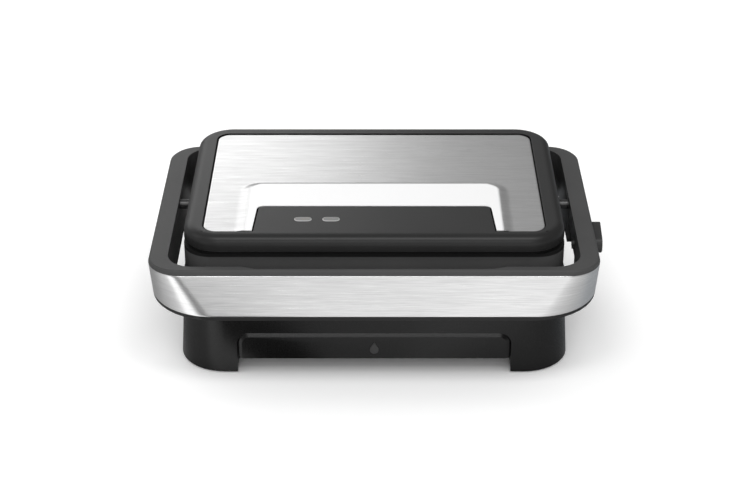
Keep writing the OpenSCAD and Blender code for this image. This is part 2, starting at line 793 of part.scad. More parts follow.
function ring_rise(z) = (z - ring_z0) / ring_h;
function ring_front(z) = ring_in_y0 - bar_foot + (bar_foot - bar_top) * ring_rise(z);
function ring_points(z, inset) = outline(
    ring_w - 2 * inset, ring_front(z) + inset, ring_y1 - inset,
    ring_r - ring_r_taper * ring_rise(z) - inset, ring_back_r - inset
);

module ring_block(z0, z1, inset) {
    hull() {
        layer(z0, ring_points(z0, inset));
        layer(z1 - skin, ring_points(z1, inset));
    }
}

module ring_inside() {
    slab(ring_z0 - 5, ring_z1 + 5, outline(ring_in_w, ring_in_y0, ring_in_y1, ring_in_r, ring_in_r));
}

// Zone of the steel band: a wrap of thickness t round the grip and its front corners
module band_zone(t, out, grow) {
    z1 = ring_z1 - band_rim + grow;
    difference() {
        ring_block(split_z - grow, z1, -out);
        ring_block(split_z - 2, z1 + 2, t);
        translate([-ring_w, band_end_y + grow, 0]) cube([2 * ring_w, rim_d * 2, 2 * ring_z1]);
    }
}

// Space in which the lock's hook lies and swings
module hook_pocket() {
    translate([arm_x - 1, -lock_y - 9.5, ring_z0 - 1])
        cube([pocket_d + 1, 9.5 + hook_end + 1.5, lock_z + hook_back + 1 - ring_z0 + 1]);
}

// Scoop along the inner top edge of the grip: a spindle lying along X
module grip_scoop() {
    depth = scoop_cut;
    translate([0, ring_in_y0 + scoop_r - depth, ring_z1 + 1]) rotate([0, 90, 0])
        rotate_extrude() polygon([
            [0, -scoop_w / 2 - scoop_taper], [scoop_r - depth - 1, -scoop_w / 2 - scoop_taper], [scoop_r, -scoop_w / 2],
            [scoop_r, scoop_w / 2], [scoop_r - depth - 1, scoop_w / 2 + scoop_taper], [0, scoop_w / 2 + scoop_taper]
        ]);
}

module ring_knuckle(x) {
    across(x, hinge_ring_w) hull() {
        translate([hinge_y, hinge_z]) circle(r = knuckle_r);
        translate([ring_y1 - 1, split_z]) square([1, 14]);
    }
}

module handle_frame() color(black) {
    knuckle_x = hinge_x + hinge_base_w / 2 + side_fit + hinge_ring_w / 2;
    knuckle_in_x = hinge_x - hinge_base_w / 2 - side_fit - hinge_ring_w / 2;
    difference() {
        union() {
            difference() {
                hull() {
                    layer(split_z, ring_points(split_z, ring_bow));
                    layer(ring_z1 - band_rim, ring_points(ring_z1 - band_rim, 0));
                    layer(ring_z1 - 1.2, ring_points(ring_z1 - 1.2, 0.6));
                    layer(ring_z1 - skin, ring_points(ring_z1, 2));
                }
                ring_inside();
            }
            both_sides() {
                ring_knuckle(knuckle_x);
                ring_knuckle(knuckle_in_x);
            }
        }
        grip_scoop();
        band_zone(band_t + band_fit, 1, band_fit);
        hook_pocket();
        // hollow grip and arms, open towards the under cover
        both_sides() {
            translate([8, ring_in_y0 - 8.4, split_z - eps]) cube([bar_screw_x[2] - 16, 5.8, bar_pocket_h + eps]);
            translate([arm_x + wall, 34, split_z - eps])
                cube([arm_w - 2 * wall, under_end_y - 40, ring_h - under_t - 8 + eps]);
        }
        // bores
        both_sides() {
            rod_x(knuckle_in_x - hinge_ring_w, knuckle_x + hinge_ring_w, hinge_y, hinge_z, hinge_pin_r + press_fit);
            rod_x(arm_x - 1, arm_x + pivot_grip + run_fit, pivot_y, pivot_z, pivot_r + press_fit);
        }
        rod_x(arm_x, ring_w / 2 + 1, -lock_y, lock_z, lock_shaft_r + run_fit);
        for (x = bar_screw_x) translate([x, bar_screw_y, split_z - eps]) cylinder(h = 10, r = screw_r);
        for (s = [-1, 1], y = arm_screw_y)
            translate([s * arm_mid_x, y, split_z - eps]) cylinder(h = 10, r = screw_r);
    }
}

module handle_under_cover() color(dark) {
    difference() {
        ring_block(ring_z0, split_z, 0);
        ring_inside();
        translate([-ring_w, under_end_y, 0]) cube([2 * ring_w, rim_d, 2 * ring_z1]);
        hook_pocket();
        for (x = bar_screw_x) translate([x, bar_screw_y, ring_z0 - eps]) {
            cylinder(h = under_t + 2 * eps, r = screw_r + screw_fit);
            cylinder(h = under_sink + eps, r = screw_head_r + screw_fit);
        }
        for (s = [-1, 1], y = arm_screw_y) translate([s * arm_mid_x, y, ring_z0 - eps]) {
            cylinder(h = under_t + 2 * eps, r = screw_r + screw_fit);
            cylinder(h = under_sink + eps, r = screw_head_r + screw_fit);
        }
    }
}

module handle_steel_band() color(steel) band_zone(band_t, 0, 0);

module handle_screws() color(alloy) {
    z = ring_z0 + under_sink - screw_head_h;
    for (x = bar_screw_x) screw_up(x, bar_screw_y, z, under_screw_l);
    for (s = [-1, 1], y = arm_screw_y) screw_up(s * arm_mid_x, y, z, under_screw_l);
}

module hinge_pins() color(alloy) {
    half = hinge_base_w / 2 + side_fit + hinge_ring_w - 0.3;
    both_sides() rod_x(hinge_x - half, hinge_x + half, hinge_y, hinge_z, hinge_pin_r);
}

// Pins fixed in the arms, with a head inside the lid
module lid_pivot_pins() color(alloy) both_sides() {
    rod_x(pivot_in_x, arm_x + pivot_grip, pivot_y, pivot_z, pivot_r);
    rod_x(pivot_in_x - pivot_head_t, pivot_in_x, pivot_y, pivot_z, pivot_head_r);
}

// ---- Lid ----

function lid_points(inset) = outline(lid_w - 2 * inset, -lid_y + inset, lid_y - inset, lid_r - inset, lid_r - inset);
function neck_points(inset) = outline(neck_w - 2 * inset, -neck_y + inset, neck_y - inset, neck_r - inset, neck_r - inset);
function cover_points(inset) = outline(
    cover_w - 2 * inset, cover_y0 + inset, cover_y1 - inset, cover_r - inset, cover_r - inset
);

module lid_lower_shell() color(dark) {
    well_top = upper_plate_z + shelf_t;
    skirt_t = 2.4;
    difference() {
        union() {
            difference() {
                union() {
                    slab(lid_z0, lid_z1, lid_points(0));
                    slab(lid_z1 - eps, flange_z + flange_t, neck_points(0));
                    slab(flange_z, flange_z + flange_t, cover_points(wall + cover_fit));
                }
                slab(lid_z0 + wall, lid_z1 - neck_t, lid_points(wall));
                slab(lid_z1 - neck_t - eps, flange_z + flange_t + eps, neck_points(neck_t));
            }
            // well and shelf of the upper plate
            slab(lid_z0 + eps, well_top, plate_points(plate_fit + skirt_t, plate_fit + skirt_t - 0.8, plate_r + plate_fit));
            // columns for the screws of the cover
            for (x = [-lid_boss_x, lid_boss_x], y = [-lid_boss_y, lid_boss_y]) intersection() {
                translate([x, y, lid_boss_z0]) cylinder(h = flange_z + flange_t - lid_boss_z0, r = boss_r + 1);
                slab(lid_z0, cover_z1, neck_points(0.5));
            }
        }
        slab(lid_z0 - eps, upper_plate_z, plate_points(plate_fit, plate_fit, plate_r + plate_fit));
        slab(lid_z0 - eps, well_top + eps, plate_points(-shelf_side, -shelf_front, plate_r));
        both_sides() rod_x(lid_w / 2 - 12, lid_w / 2 + 1, pivot_y, pivot_z, pivot_r + bush_wall + press_fit);
        for (x = [-lid_boss_x, lid_boss_x], y = [-lid_boss_y, lid_boss_y])
            translate([x, y, lid_boss_z0 - eps]) cylinder(h = 40, r = screw_r + screw_fit);
        for (x = [-plate_screw_x, plate_screw_x], y = [-plate_screw_y, plate_screw_y])
            translate([x, y, upper_plate_z - eps]) cylinder(h = shelf_t + 2 * eps, r = screw_r + screw_fit);
    }
}

// Outline of the field left free for the lamps, grown by g
module field_shape(g) {
    half = field_w / 2 + g;
    y1 = panel_y0 + field_d + g;
    polygon(concat(
        [[-half, panel_y0 - border_front], [half, panel_y0 - border_front]],
        corner(half - field_taper - field_r, y1 - field_r, field_r, 0),
        corner(-half + field_taper + field_r, y1 - field_r, field_r, 90)
    ));
}

module panel_shape(g) {
    difference() {
        polygon(outline(panel_w + 2 * g, panel_y0 - g, panel_y1 + g, panel_r + g, panel_r + g));
        field_shape(-g);
    }
}

// Pressed hollow of the panel: soft slopes at the sides and a steep wall at the back
press_top_r = 16;
press_floor_r = 12;

module press_hollow(z1, h, g) {
    y0 = panel_y0 - border_front;
    y1 = panel_y0 + press_d;
    hull() {
        layer(z1 + skin, outline(press_w + 2 * g, y0, y1 + g, 1, press_top_r));
        layer(z1 - h, outline(press_w - 2 * press_slope_x + 2 * g, y0, y1 - press_slope_y + g, 1, press_floor_r));
    }
}

// Slot with round ends, grown by g
module lens_shape(g) {
    r = lens_d / 2 + g;
    half = (lens_w - lens_d) / 2;
    n = 12;
    polygon(concat(
        [for (i = [0 : n]) [half + r * sin(180 * i / n), -r * cos(180 * i / n)]],
        [for (i = [0 : n]) [-half - r * sin(180 * i / n), r * cos(180 * i / n)]]
    ));
}

module lid_cover() color(black) {
    pocket_z = panel_z1 - panel_t;
    difference() {
        union() {
            difference() {
                hull() {
                    layer(cover_z0, cover_points(0));
                    layer(cover_z0 + 0.55 * cover_h, cover_points(0));
                    layer(cover_z0 + 0.8 * cover_h, cover_points(1.2));
                    layer(cover_z0 + 0.94 * cover_h, cover_points(3.4));
                    layer(cover_z1 - skin, cover_points(6.6));
                }
                slab(cover_z0 - eps, cover_void, cover_points(wall));
            }
            for (x = [-lid_boss_x, lid_boss_x], y = [-lid_boss_y, lid_boss_y])
                translate([x, y, flange_z + flange_t]) cylinder(h = cover_void - flange_z - flange_t + eps, r = boss_r);
            // posts for the lamp board
            for (x = [lens_at[0] - 11, lens_at[1] + 11])
                translate([x, lens_cy, board_z + board_t]) cylinder(h = cover_void - board_z - board_t + eps, r = 2);
        }
        translate([0, 0, pocket_z]) linear_extrude(cover_h) panel_shape(panel_fit);
        // deeper pocket under the panel's pressed hollow
        translate([0, 0, pocket_z - press_h - 0.1]) linear_extrude(press_h + eps) intersection() {
            panel_shape(panel_fit);
            polygon(outline(press_w + 2, panel_y0 - 1, panel_y0 + press_d + 1.5, 2, press_top_r));
        }
        for (x = lens_at) translate([x, lens_cy, cover_void - eps]) linear_extrude(cover_h) lens_shape(0.1);
        for (x = [-lid_boss_x, lid_boss_x], y = [-lid_boss_y, lid_boss_y])
            translate([x, y, flange_z]) cylinder(h = 4.5, r = screw_r);
    }
}

// Thin brushed panel with its pressed hollow, cut out round the lamps' field
module lid_steel_panel() color(steel) {
    difference() {
        union() {
            slab(panel_z1 - panel_t, panel_z1, outline(panel_w, panel_y0, panel_y1, panel_r, panel_r));
            intersection() {
                press_hollow(panel_z1 - panel_t, press_h, 0.8);
                slab(0, 2 * cover_z1, outline(panel_w, panel_y0, panel_y1, panel_r, panel_r));
            }
        }
        press_hollow(panel_z1, press_h, 0);
        translate([0, 0, panel_z1 - cover_h]) linear_extrude(2 * cover_h) field_shape(0);
    }
}

module lid_screws() color(alloy) {
    for (x = [-lid_boss_x, lid_boss_x], y = [-lid_boss_y, lid_boss_y])
        screw_up(x, y, lid_boss_z0 - screw_head_h, flange_z + flange_t + 2 - lid_boss_z0);
}

// Flanged bushes in the lid's sides
module lid_pivot_bushes() color([0.75, 0.75, 0.7]) both_sides() difference() {
    union() {
        rod_x(lid_w / 2 - 6, lid_w / 2, pivot_y, pivot_z, pivot_r + bush_wall);
        rod_x(lid_w / 2, lid_w / 2 + bush_flange_t, pivot_y, pivot_z, bush_flange_r);
    }
    rod_x(lid_w / 2 - 7, lid_w / 2 + bush_flange_t + 1, pivot_y, pivot_z, pivot_r + run_fit);
}

module lens(x) {
    translate([x, lens_cy, cover_void]) linear_extrude(cover_z1 + lens_proud - cover_void) lens_shape(0);
    translate([x, lens_cy, cover_void - 0.8]) linear_extrude(0.8) lens_shape(1.2);
}

module power_lens() color([0.55, 0.53, 0.5]) lens(lens_at[0]);
module ready_lens() color([0.55, 0.53, 0.5]) lens(lens_at[1]);

module lamp_board() color([0.15, 0.35, 0.2]) difference() {
    board_end = 15;
    board_d = 18;
    translate([lens_at[0] - board_end, lens_cy - board_d / 2, board_z])
        cube([lens_at[1] - lens_at[0] + 2 * board_end, board_d, board_t]);
    for (x = lens_at, s = [-1, 1])
        translate([x + s * 1.3, lens_cy, board_z - eps]) cylinder(h = board_t + 2 * eps, r = 0.5);
}

module lamp(x) {
    translate([x, lens_cy, board_z + board_t]) cylinder(h = cover_void - 1 - board_z - board_t, r = lamp_r);
    for (s = [-1, 1]) translate([x + s * 1.3, lens_cy, board_z - 1]) cylinder(h = board_t + 1 + eps, r = 0.4);
}

module power_lamp() color([0.8, 0.2, 0.15]) lamp(lens_at[0]);
module ready_lamp() color([0.2, 0.7, 0.3]) lamp(lens_at[1]);

// ---- Lock ----

// Steel stud pressed into the base's right wall
module lock_stud() color(alloy) {
    rod_x(rim_w / 2 - stud_in, arm_x + pocket_d - hook_gap - 0.8, -lock_y, stud_z, stud_r);
    translate([arm_x + pocket_d - hook_gap - 0.8, -lock_y, stud_z]) rotate([0, 90, 0])
        cylinder(h = 0.8, r1 = stud_r, r2 = stud_r - 0.8);
}

// Knob on the outside of the right arm, its tab towards the back, on one shaft with a spigot for the hook
module lock_knob() color(dark) difference() {
    union() {
        across(knob_x + knob_t / 2, knob_t) hull() {
            translate([-lock_y, lock_z]) circle(r = knob_r);
            translate([-lock_y + tab_y, lock_z + tab_z]) circle(r = tab_r);
        }
        rod_x(arm_x + pocket_d, knob_x + 1, -lock_y, lock_z, lock_shaft_r);
        rod_x(hook_x, arm_x + pocket_d + 1, -lock_y, lock_z, spigot_r);
    }
    rod_x(hook_x - 1, hook_x + 9, -lock_y, lock_z, 1.2);
}

// Hook on the inside of the arm. It lies back along Y and swings down round the stud in the base.
module lock_hook() color(alloy) difference() {
    across(hook_x + hook_t / 2, hook_t) difference() {
        union() {
            translate([-lock_y, lock_z]) circle(r = hook_back);
            translate([-lock_y, lock_z - hook_lead]) square([hook_end, hook_lead + hook_back]);
        }
        translate([-lock_y + stud_reach - slot_r, lock_z - hook_lead - 1]) square([2 * slot_r, hook_lead + 1]);
        translate([-lock_y + stud_reach, lock_z]) circle(r = slot_r);
    }
    rod_x(hook_x - 1, hook_x + hook_t + 1, -lock_y, lock_z, spigot_r + press_fit);
}

module lock_screw() color(alloy) {
    rod_x(hook_x - 1.6, hook_x, -lock_y, lock_z, 4);
    rod_x(hook_x - eps, hook_x + lock_screw_l, -lock_y, lock_z, 1.18);
}

base_housing();
base_bottom_cover();
rubber_feet();
base_screws();
lower_plate();
lower_plate_screws();
lower_heating_element();
lower_element_clips();
lower_reflector();
lower_thermostat();
lower_thermal_fuse();
terminal_block();
cord_gland();
handle_frame();
handle_under_cover();
handle_steel_band();
handle_screws();
hinge_pins();
lid_pivot_pins();
lid_cover();
lid_steel_panel();
lid_lower_shell();
lid_screws();
lid_pivot_bushes();
upper_plate();
upper_plate_screws();
upper_heating_element();
upper_element_clips();
upper_reflector();
upper_thermal_fuse();
power_lens();
ready_lens();
lamp_board();
power_lamp();
ready_lamp();
lock_stud();
lock_knob();
lock_hook();
lock_screw();
drip_tray();
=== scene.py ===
# %% [markdown]
# # A contact grill under soft studio light
# The grill stands closed on a white table. Its base is black plastic, a ring-shaped handle with a steel
# grip runs round it, and a lid with a brushed steel panel floats inside the ring. The solids come in as a
# fixed frame, in metres, with the front towards -Y. This lesson gives them their finishes, and lays finer
# surfaces over the pieces that show most: the panel, the lid's cover, the steel band, the handle and the
# shells.

# %% The frame and the box it fills
import json
import math

import bmesh
import bpy
import numpy as np
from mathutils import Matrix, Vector
from mathutils.geometry import tessellate_polygon


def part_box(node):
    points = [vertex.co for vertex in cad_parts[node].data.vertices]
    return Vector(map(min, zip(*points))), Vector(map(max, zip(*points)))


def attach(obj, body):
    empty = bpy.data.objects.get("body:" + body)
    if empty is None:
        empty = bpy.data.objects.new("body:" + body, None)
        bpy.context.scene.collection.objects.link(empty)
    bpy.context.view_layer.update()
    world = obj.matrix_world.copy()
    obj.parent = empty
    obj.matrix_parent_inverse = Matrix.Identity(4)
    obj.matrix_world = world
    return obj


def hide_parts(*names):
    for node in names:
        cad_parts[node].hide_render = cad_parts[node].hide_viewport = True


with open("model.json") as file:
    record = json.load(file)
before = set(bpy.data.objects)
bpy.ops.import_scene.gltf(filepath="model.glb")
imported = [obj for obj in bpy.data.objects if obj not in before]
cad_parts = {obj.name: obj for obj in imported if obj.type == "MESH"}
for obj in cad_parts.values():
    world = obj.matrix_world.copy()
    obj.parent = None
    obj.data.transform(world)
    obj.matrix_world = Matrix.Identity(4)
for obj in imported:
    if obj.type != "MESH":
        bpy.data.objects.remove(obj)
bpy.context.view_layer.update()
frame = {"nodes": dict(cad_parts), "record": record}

MM = 0.001
nodes = frame["nodes"]


def box_mm(node):
    """The low and the high corner of a node's box, in millimetres."""
    return [np.array(corner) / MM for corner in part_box(node)]


# %% [markdown]
# ## The camera
# The photograph was taken from the front with a long lens, looking 29 degrees down. The round corners of
# the base and the vanishing lines of the lid gave the place and the focal length, so they are set directly
# and no object has to be moved to fit the picture.

# %% Camera
LOOKS_DOWN = 29.0
camera_data = bpy.data.cameras.new("camera")
camera_data.sensor_width = 36.0
camera_data.lens = 85.9
camera_data.clip_start = 0.05
camera_data.clip_end = 200.0
camera = bpy.data.objects.new("camera", camera_data)
camera.location = (0.0006, -1.2602, 0.7550)
camera.rotation_euler = (math.radians(90.0 - LOOKS_DOWN), 0.0, 0.0)
bpy.context.scene.collection.objects.link(camera)
bpy.context.scene.camera = camera
bpy.context.scene.view_settings.view_transform = "Standard"
print("camera", tuple(round(c, 3) for c in camera.location))

# %% [markdown]
# ## Table and light
# A studio table is a white sweep that shows almost no horizon. A very large plane does that from every
# side. Its colour is a little stronger for rays that come straight from the lens, so it reads as white
# paper while it bounces only a plain amount of light, and shadows still darken it.
#
# Steel only looks like steel when it mirrors something that changes. A photographer stands white and grey
# cards round such an object, just outside the picture. Here the ring of cards is a curve of brightness
# against the direction round the grill, and only glossy rays see it on the table: bright in front, a dark
# gap and a white card at the left, and grey cards at both sides.
#
# The room is brightest near the horizon and greyer overhead. Brushed steel that looks up mirrors the greyer
# part, and steel that looks forward mirrors the table with its cards.

# %% Node helpers


def new_material(name):
    """An empty node material with its output node."""
    material = bpy.data.materials.new(name)
    material.use_nodes = True
    tree = material.node_tree
    tree.nodes.clear()
    output = tree.nodes.new("ShaderNodeOutputMaterial")
    return material, tree, output


def feed(tree, value, socket):
    """Joins another node's output to an input socket, or writes a plain value into it."""
    if hasattr(value, "is_output"):
        tree.links.new(value, socket)
    else:
        socket.default_value = value


def add_node(tree, kind, **values):
    """Adds a node; each keyword feeds an input socket of that name, or else sets a property."""
    node = tree.nodes.new("ShaderNode" + kind)
    for key, value in values.items():
        socket = key.replace("_", " ")
        if socket in node.inputs:
            feed(tree, value, node.inputs[socket])
        else:
            setattr(node, key, value)
    return node


def math_node(tree, operation, a, b):
    """The result of one operation on two values, each a number or a socket."""
    node = add_node(tree, "Math", operation=operation)
    feed(tree, a, node.inputs[0])
    feed(tree, b, node.inputs[1])
    return node.outputs[0]


def mix_node(tree, data_type, share, a, b):
    """Between a and b by share, each a plain value or a socket."""
    node = add_node(tree, "Mix", data_type=data_type)
    for name, value in (("Factor", share), ("A", a), ("B", b)):
        feed(tree, value, node.inputs[name])
    return node.outputs["Result"]


def remapped(tree, value, low, high, start=0.0, end=1.0, curve="LINEAR"):
    """A value that goes from low to high while the given one goes from start to end, and no further."""
    node = add_node(tree, "MapRange", interpolation_type=curve, Value=value, From_Min=start, From_Max=end,
                    To_Min=low, To_Max=high)
    return node.outputs["Result"]


def object_noise(tree, scale, detail, roughness=0.5):
    """Noise in Object coordinates, which are metres here, with about scale cells to the metre."""
    place = add_node(tree, "TexCoord")
    noise = add_node(tree, "TexNoise", Scale=scale, Detail=detail, Roughness=roughness,
                     Vector=place.outputs["Object"])
    return noise.outputs["Fac"]


def surface_bump(tree, shader, height, strength, depth, edge=None):
    """Bump from a height value, over corners softened to the radius edge where one is given."""
    bump = add_node(tree, "Bump", Strength=strength, Distance=depth, Height=height)
    if edge is not None:
        corner = add_node(tree, "Bevel", samples=4, Radius=edge)
        tree.links.new(corner.outputs[0], bump.inputs["Normal"])
    tree.links.new(bump.outputs[0], shader.inputs["Normal"])


print("node helpers ready for", bpy.app.version_string)

# %% Table
TABLE_SIZE = 60.0
TABLE_GREY = 0.80
TABLE_WHITE = 1.14
CARDS = (
    (-180, 0.36), (-115, 0.30), (-98, 0.29), (-80, 0.36), (-62, 0.62), (-54, 0.76), (-51, 1.40), (-40, 1.50),
    (-38, 0.10), (-24, 0.08), (-20, 0.60), (-15, 0.88), (-6, 0.93), (8, 0.98), (16, 1.24), (24, 1.14),
    (32, 0.88), (42, 0.74), (56, 0.58), (74, 0.42), (98, 0.38), (115, 0.36), (180, 0.36),
)
COOL_FROM = 60
COOL_SHARE = 0.04


def card_ring(tree):
    """Brightness round the grill, as a curve of the direction in degrees in which a point of the table lies.

    The cards beyond COOL_FROM on the right are a little bluer than grey.
    """
    place = add_node(tree, "TexCoord")
    parts = add_node(tree, "SeparateXYZ", Vector=place.outputs["Object"])
    forward = math_node(tree, "MULTIPLY", parts.outputs["Y"], -1.0)
    angle = math_node(tree, "ARCTAN2", parts.outputs["X"], forward)
    share = math_node(tree, "ADD", math_node(tree, "DIVIDE", angle, 2 * math.pi), 0.5)
    ramp = add_node(tree, "ValToRGB")
    stops = ramp.color_ramp.elements
    while len(stops) < len(CARDS):
        stops.new(0.5)
    for stop, (degrees, grey) in zip(stops, CARDS):
        cool = COOL_SHARE if degrees > COOL_FROM else 0.0
        stop.position = (degrees + 180) / 360
        stop.color = (grey * (1 - cool), grey, grey * (1 + cool), 1)
    tree.links.new(share, ramp.inputs[0])
    return ramp.outputs["Color"]


def table_finish():
    """White paper: diffuse, white for camera and transmission rays, and the ring of cards for glossy rays."""
    material, tree, output = new_material("table_paper")
    path = add_node(tree, "LightPath")
    seen = math_node(tree, "MAXIMUM", path.outputs["Is Camera Ray"], path.outputs["Is Transmission Ray"])
    paper = (TABLE_GREY, TABLE_GREY, TABLE_GREY, 1)
    white = (TABLE_WHITE, TABLE_WHITE, TABLE_WHITE, 1)
    colour = mix_node(tree, "RGBA", seen, paper, white)
    colour = mix_node(tree, "RGBA", path.outputs["Is Glossy Ray"], colour, card_ring(tree))
    diffuse = add_node(tree, "BsdfDiffuse", Color=colour)
    tree.links.new(diffuse.outputs[0], output.inputs["Surface"])
    return material


half = TABLE_SIZE / 2
table_mesh = bpy.data.meshes.new("table")
table_corners = [(-half, -half, 0), (half, -half, 0), (half, half, 0), (-half, half, 0)]
table_mesh.from_pydata(table_corners, [], [(0, 1, 2, 3)])
table = bpy.data.objects.new("table", table_mesh)
bpy.context.scene.collection.objects.link(table)
table_mesh.materials.append(table_finish())
print("table", TABLE_SIZE, "m wide, cards", len(CARDS))

# %% [markdown]
# ## The room
# Height and direction in the room are parts of a unit arrow: Z is 0 at the horizon and 1 overhead, and X is
# 1 straight to the right.

# %% Room light
HORIZON_LIGHT = 0.60
OVERHEAD_LIGHT = 0.40
HORIZON_Z = 0.10
OVERHEAD_Z = 0.42
DARK_SIDE = 0.35
BRIGHT_X = 0.12
DARK_X = 0.34
ROOM_LIGHT = 0.84
BACKDROP_LIGHT = 1.0


def room_light():
    """The world: one plain strength for matt surfaces, and one for what the camera sees behind the table.

    Mirrors see it fall from the horizon to overhead, and to the right, where the studio is dark.
    """
    world = bpy.data.worlds.new("studio")
    bpy.context.scene.world = world
    world.use_nodes = True
    tree = world.node_tree
    tree.nodes.clear()
    direction = add_node(tree, "TexCoord")
    parts = add_node(tree, "SeparateXYZ", Vector=direction.outputs["Generated"])
    height, right = parts.outputs["Z"], parts.outputs["X"]
    rise = remapped(tree, height, HORIZON_LIGHT, OVERHEAD_LIGHT, HORIZON_Z, OVERHEAD_Z, "SMOOTHSTEP")
    side = remapped(tree, right, 1.0, DARK_SIDE, BRIGHT_X, DARK_X, "SMOOTHSTEP")
    path = add_node(tree, "LightPath")
    strength = math_node(tree, "MULTIPLY", rise, side)
    strength = mix_node(tree, "FLOAT", path.outputs["Is Diffuse Ray"], strength, ROOM_LIGHT)
    strength = mix_node(tree, "FLOAT", path.outputs["Is Camera Ray"], strength, BACKDROP_LIGHT)
    background = add_node(tree, "Background", Strength=strength)
    output = add_node(tree, "OutputWorld")
    tree.links.new(background.outputs[0], output.inputs["Surface"])


room_light()
print("room", ROOM_LIGHT, "mirrored", HORIZON_LIGHT, "to", OVERHEAD_LIGHT)

# %% Soft boxes
AIM = Vector((0.0, 0.0, 0.05))


def soft_box(name, place, width, height, power):
    """A rectangular area lamp at place that faces the grill. Sizes are in metres, power in watts."""
    lamp = bpy.data.lights.new(name, "AREA")
    lamp.shape = "RECTANGLE"
    lamp.size = width
    lamp.size_y = height
    lamp.energy = power
    box = bpy.data.objects.new(name, lamp)
    box.location = place
    box.rotation_euler = (AIM - Vector(place)).to_track_quat("-Z", "Y").to_euler()
    bpy.context.scene.collection.objects.link(box)


soft_box("rear_left_box", (-0.94, 1.9, 1.10), 2.0, 0.65, 7.6)
soft_box("rear_right_box", (0.50, 1.9, 1.3), 0.9, 0.6, 0.3)
soft_box("left_box", (-2.2, -0.3, 1.5), 1.2, 1.2, 4.5)
soft_box("front_box", (0.0, -2.6, 1.3), 1.6, 0.45, 9.0)
soft_box("front_top_box", (0.1, -1.0, 2.2), 1.8, 0.8, 20.0)

# %% [markdown]
# ## Finishes
# Moulded plastic is never quite even: the mould's spark-eroded grain breaks up the reflection, and the
# grain is a few tenths of a millimetre across. It is made of noise in Object coordinates, and it drives
# both the bump and the roughness. Rounded corners are real geometry where the piece is large, and a soft
# corner normal where it is small.

# %% Plastics
TONE_DRIFT = 0.12
GLOSS_DRIFT = 0.05
GRAIN_DEPTH = 0.04 * MM
SHADOW_BLUR = 0.4 * MM
SHADOW_SHARE = 0.2


def plastic(name, grey, roughness, grain=0.25, grain_scale=2600.0, edge=0.4 * MM, tint=(1.0, 1.0, 1.0),
            specular=0.5, black_above=None):
    """Moulded plastic: colour with a slow drift, a fine grain in bump and roughness, and softened corners.

    black_above is a height in metres above which the piece is painted near black: a painted shadow, for the
    shade under a cover.
    """
    material, tree, output = new_material(name)
    fine = object_noise(tree, grain_scale, 3.0, 0.55)
    shade = remapped(tree, object_noise(tree, 18.0, 4.0), 1 - TONE_DRIFT, 1 + TONE_DRIFT)
    gloss = specular
    # Painted shadow: above black_above the colour and the gloss fall to SHADOW_SHARE of their value.
    if black_above is not None:
        place = add_node(tree, "TexCoord")
        parts = add_node(tree, "SeparateXYZ", Vector=place.outputs["Object"])
        lit = remapped(tree, parts.outputs["Z"], 1.0, SHADOW_SHARE,
                       black_above - SHADOW_BLUR, black_above + SHADOW_BLUR)
        shade = math_node(tree, "MULTIPLY", shade, lit)
        gloss = math_node(tree, "MULTIPLY", lit, specular)
    colour = add_node(tree, "VectorMath", operation="SCALE", Scale=shade)
    colour.inputs[0].default_value = tuple(grey * t for t in tint)
    rough = remapped(tree, fine, roughness - GLOSS_DRIFT, roughness + GLOSS_DRIFT)
    shader = add_node(tree, "BsdfPrincipled", Base_Color=colour.outputs[0], Roughness=rough,
                      Specular_IOR_Level=gloss)
    surface_bump(tree, shader, fine, grain, GRAIN_DEPTH, edge)
    tree.links.new(shader.outputs[0], output.inputs["Surface"])
    return material


finishes = {
    "black_plastic": plastic("black_plastic", 0.004, 0.27, grain=0.3, specular=0.31),
    "dark_plastic": plastic("dark_plastic", 0.060, 0.45, grain=0.3, specular=0.35),
    "lid_plastic": plastic("lid_plastic", 0.020, 0.36, grain=0.1, specular=0.28),
    "ring_plastic": plastic("ring_plastic", 0.064, 0.42, grain=0.3, specular=0.14),
    "rubber": plastic("rubber", 0.02, 0.75, grain=0.5, grain_scale=1500.0),
    "phenolic": plastic("phenolic", 0.20, 0.5, tint=(1.0, 0.62, 0.33)),
    "terminal_plastic": plastic("terminal_plastic", 0.72, 0.45, tint=(1.0, 0.98, 0.9)),
    "bush_plastic": plastic("bush_plastic", 0.06, 0.5),
    "board": plastic("board", 0.2, 0.4, tint=(0.25, 0.8, 0.4)),
    "red_lamp": plastic("red_lamp", 0.55, 0.2, tint=(1.0, 0.1, 0.06), grain=0.0),
    "green_lamp": plastic("green_lamp", 0.45, 0.2, tint=(0.1, 1.0, 0.25), grain=0.0),
}
print("plastics", sorted(finishes))

# %% [markdown]
# ## Brushed steel
# A brushed sheet is drawn under an abrasive belt, so its scratches all run one way, here from side to side.
# Each scratch is hair-fine across and centimetres long. The pattern reads the piece's UV map, which is laid
# out in metres along and across the brushing, so it follows the band round its corners. Three layers of
# stretched noise give hairs, strands and broad streaks, and they move the colour, the roughness and the
# bump together.

# %% Brushed steel
BRUSH_LAYERS = (
    # cycles a metre along and across the brushing, detail, and share in the mix
    (60.0, 5200.0, 2.0, 0.35),
    (34.0, 1150.0, 4.0, 0.40),
    (11.0, 260.0, 3.0, 0.25),
)
SCRATCH_DEPTH = 0.02 * MM


def brushing_noise(tree):
    """The layers added up: each is noise that is long in U and short in V."""
    place = add_node(tree, "UVMap", uv_map="brushing")
    mixed = 0.0
    for along, across, detail, weight in BRUSH_LAYERS:
        mapping = add_node(tree, "Mapping", Vector=place.outputs[0], Scale=(along, across, 1.0))
        noise = add_node(tree, "TexNoise", Vector=mapping.outputs[0], Scale=1.0, Detail=detail, Roughness=0.6)
        layer = math_node(tree, "MULTIPLY", noise.outputs["Fac"], weight)
        mixed = math_node(tree, "ADD", mixed, layer)
    return mixed


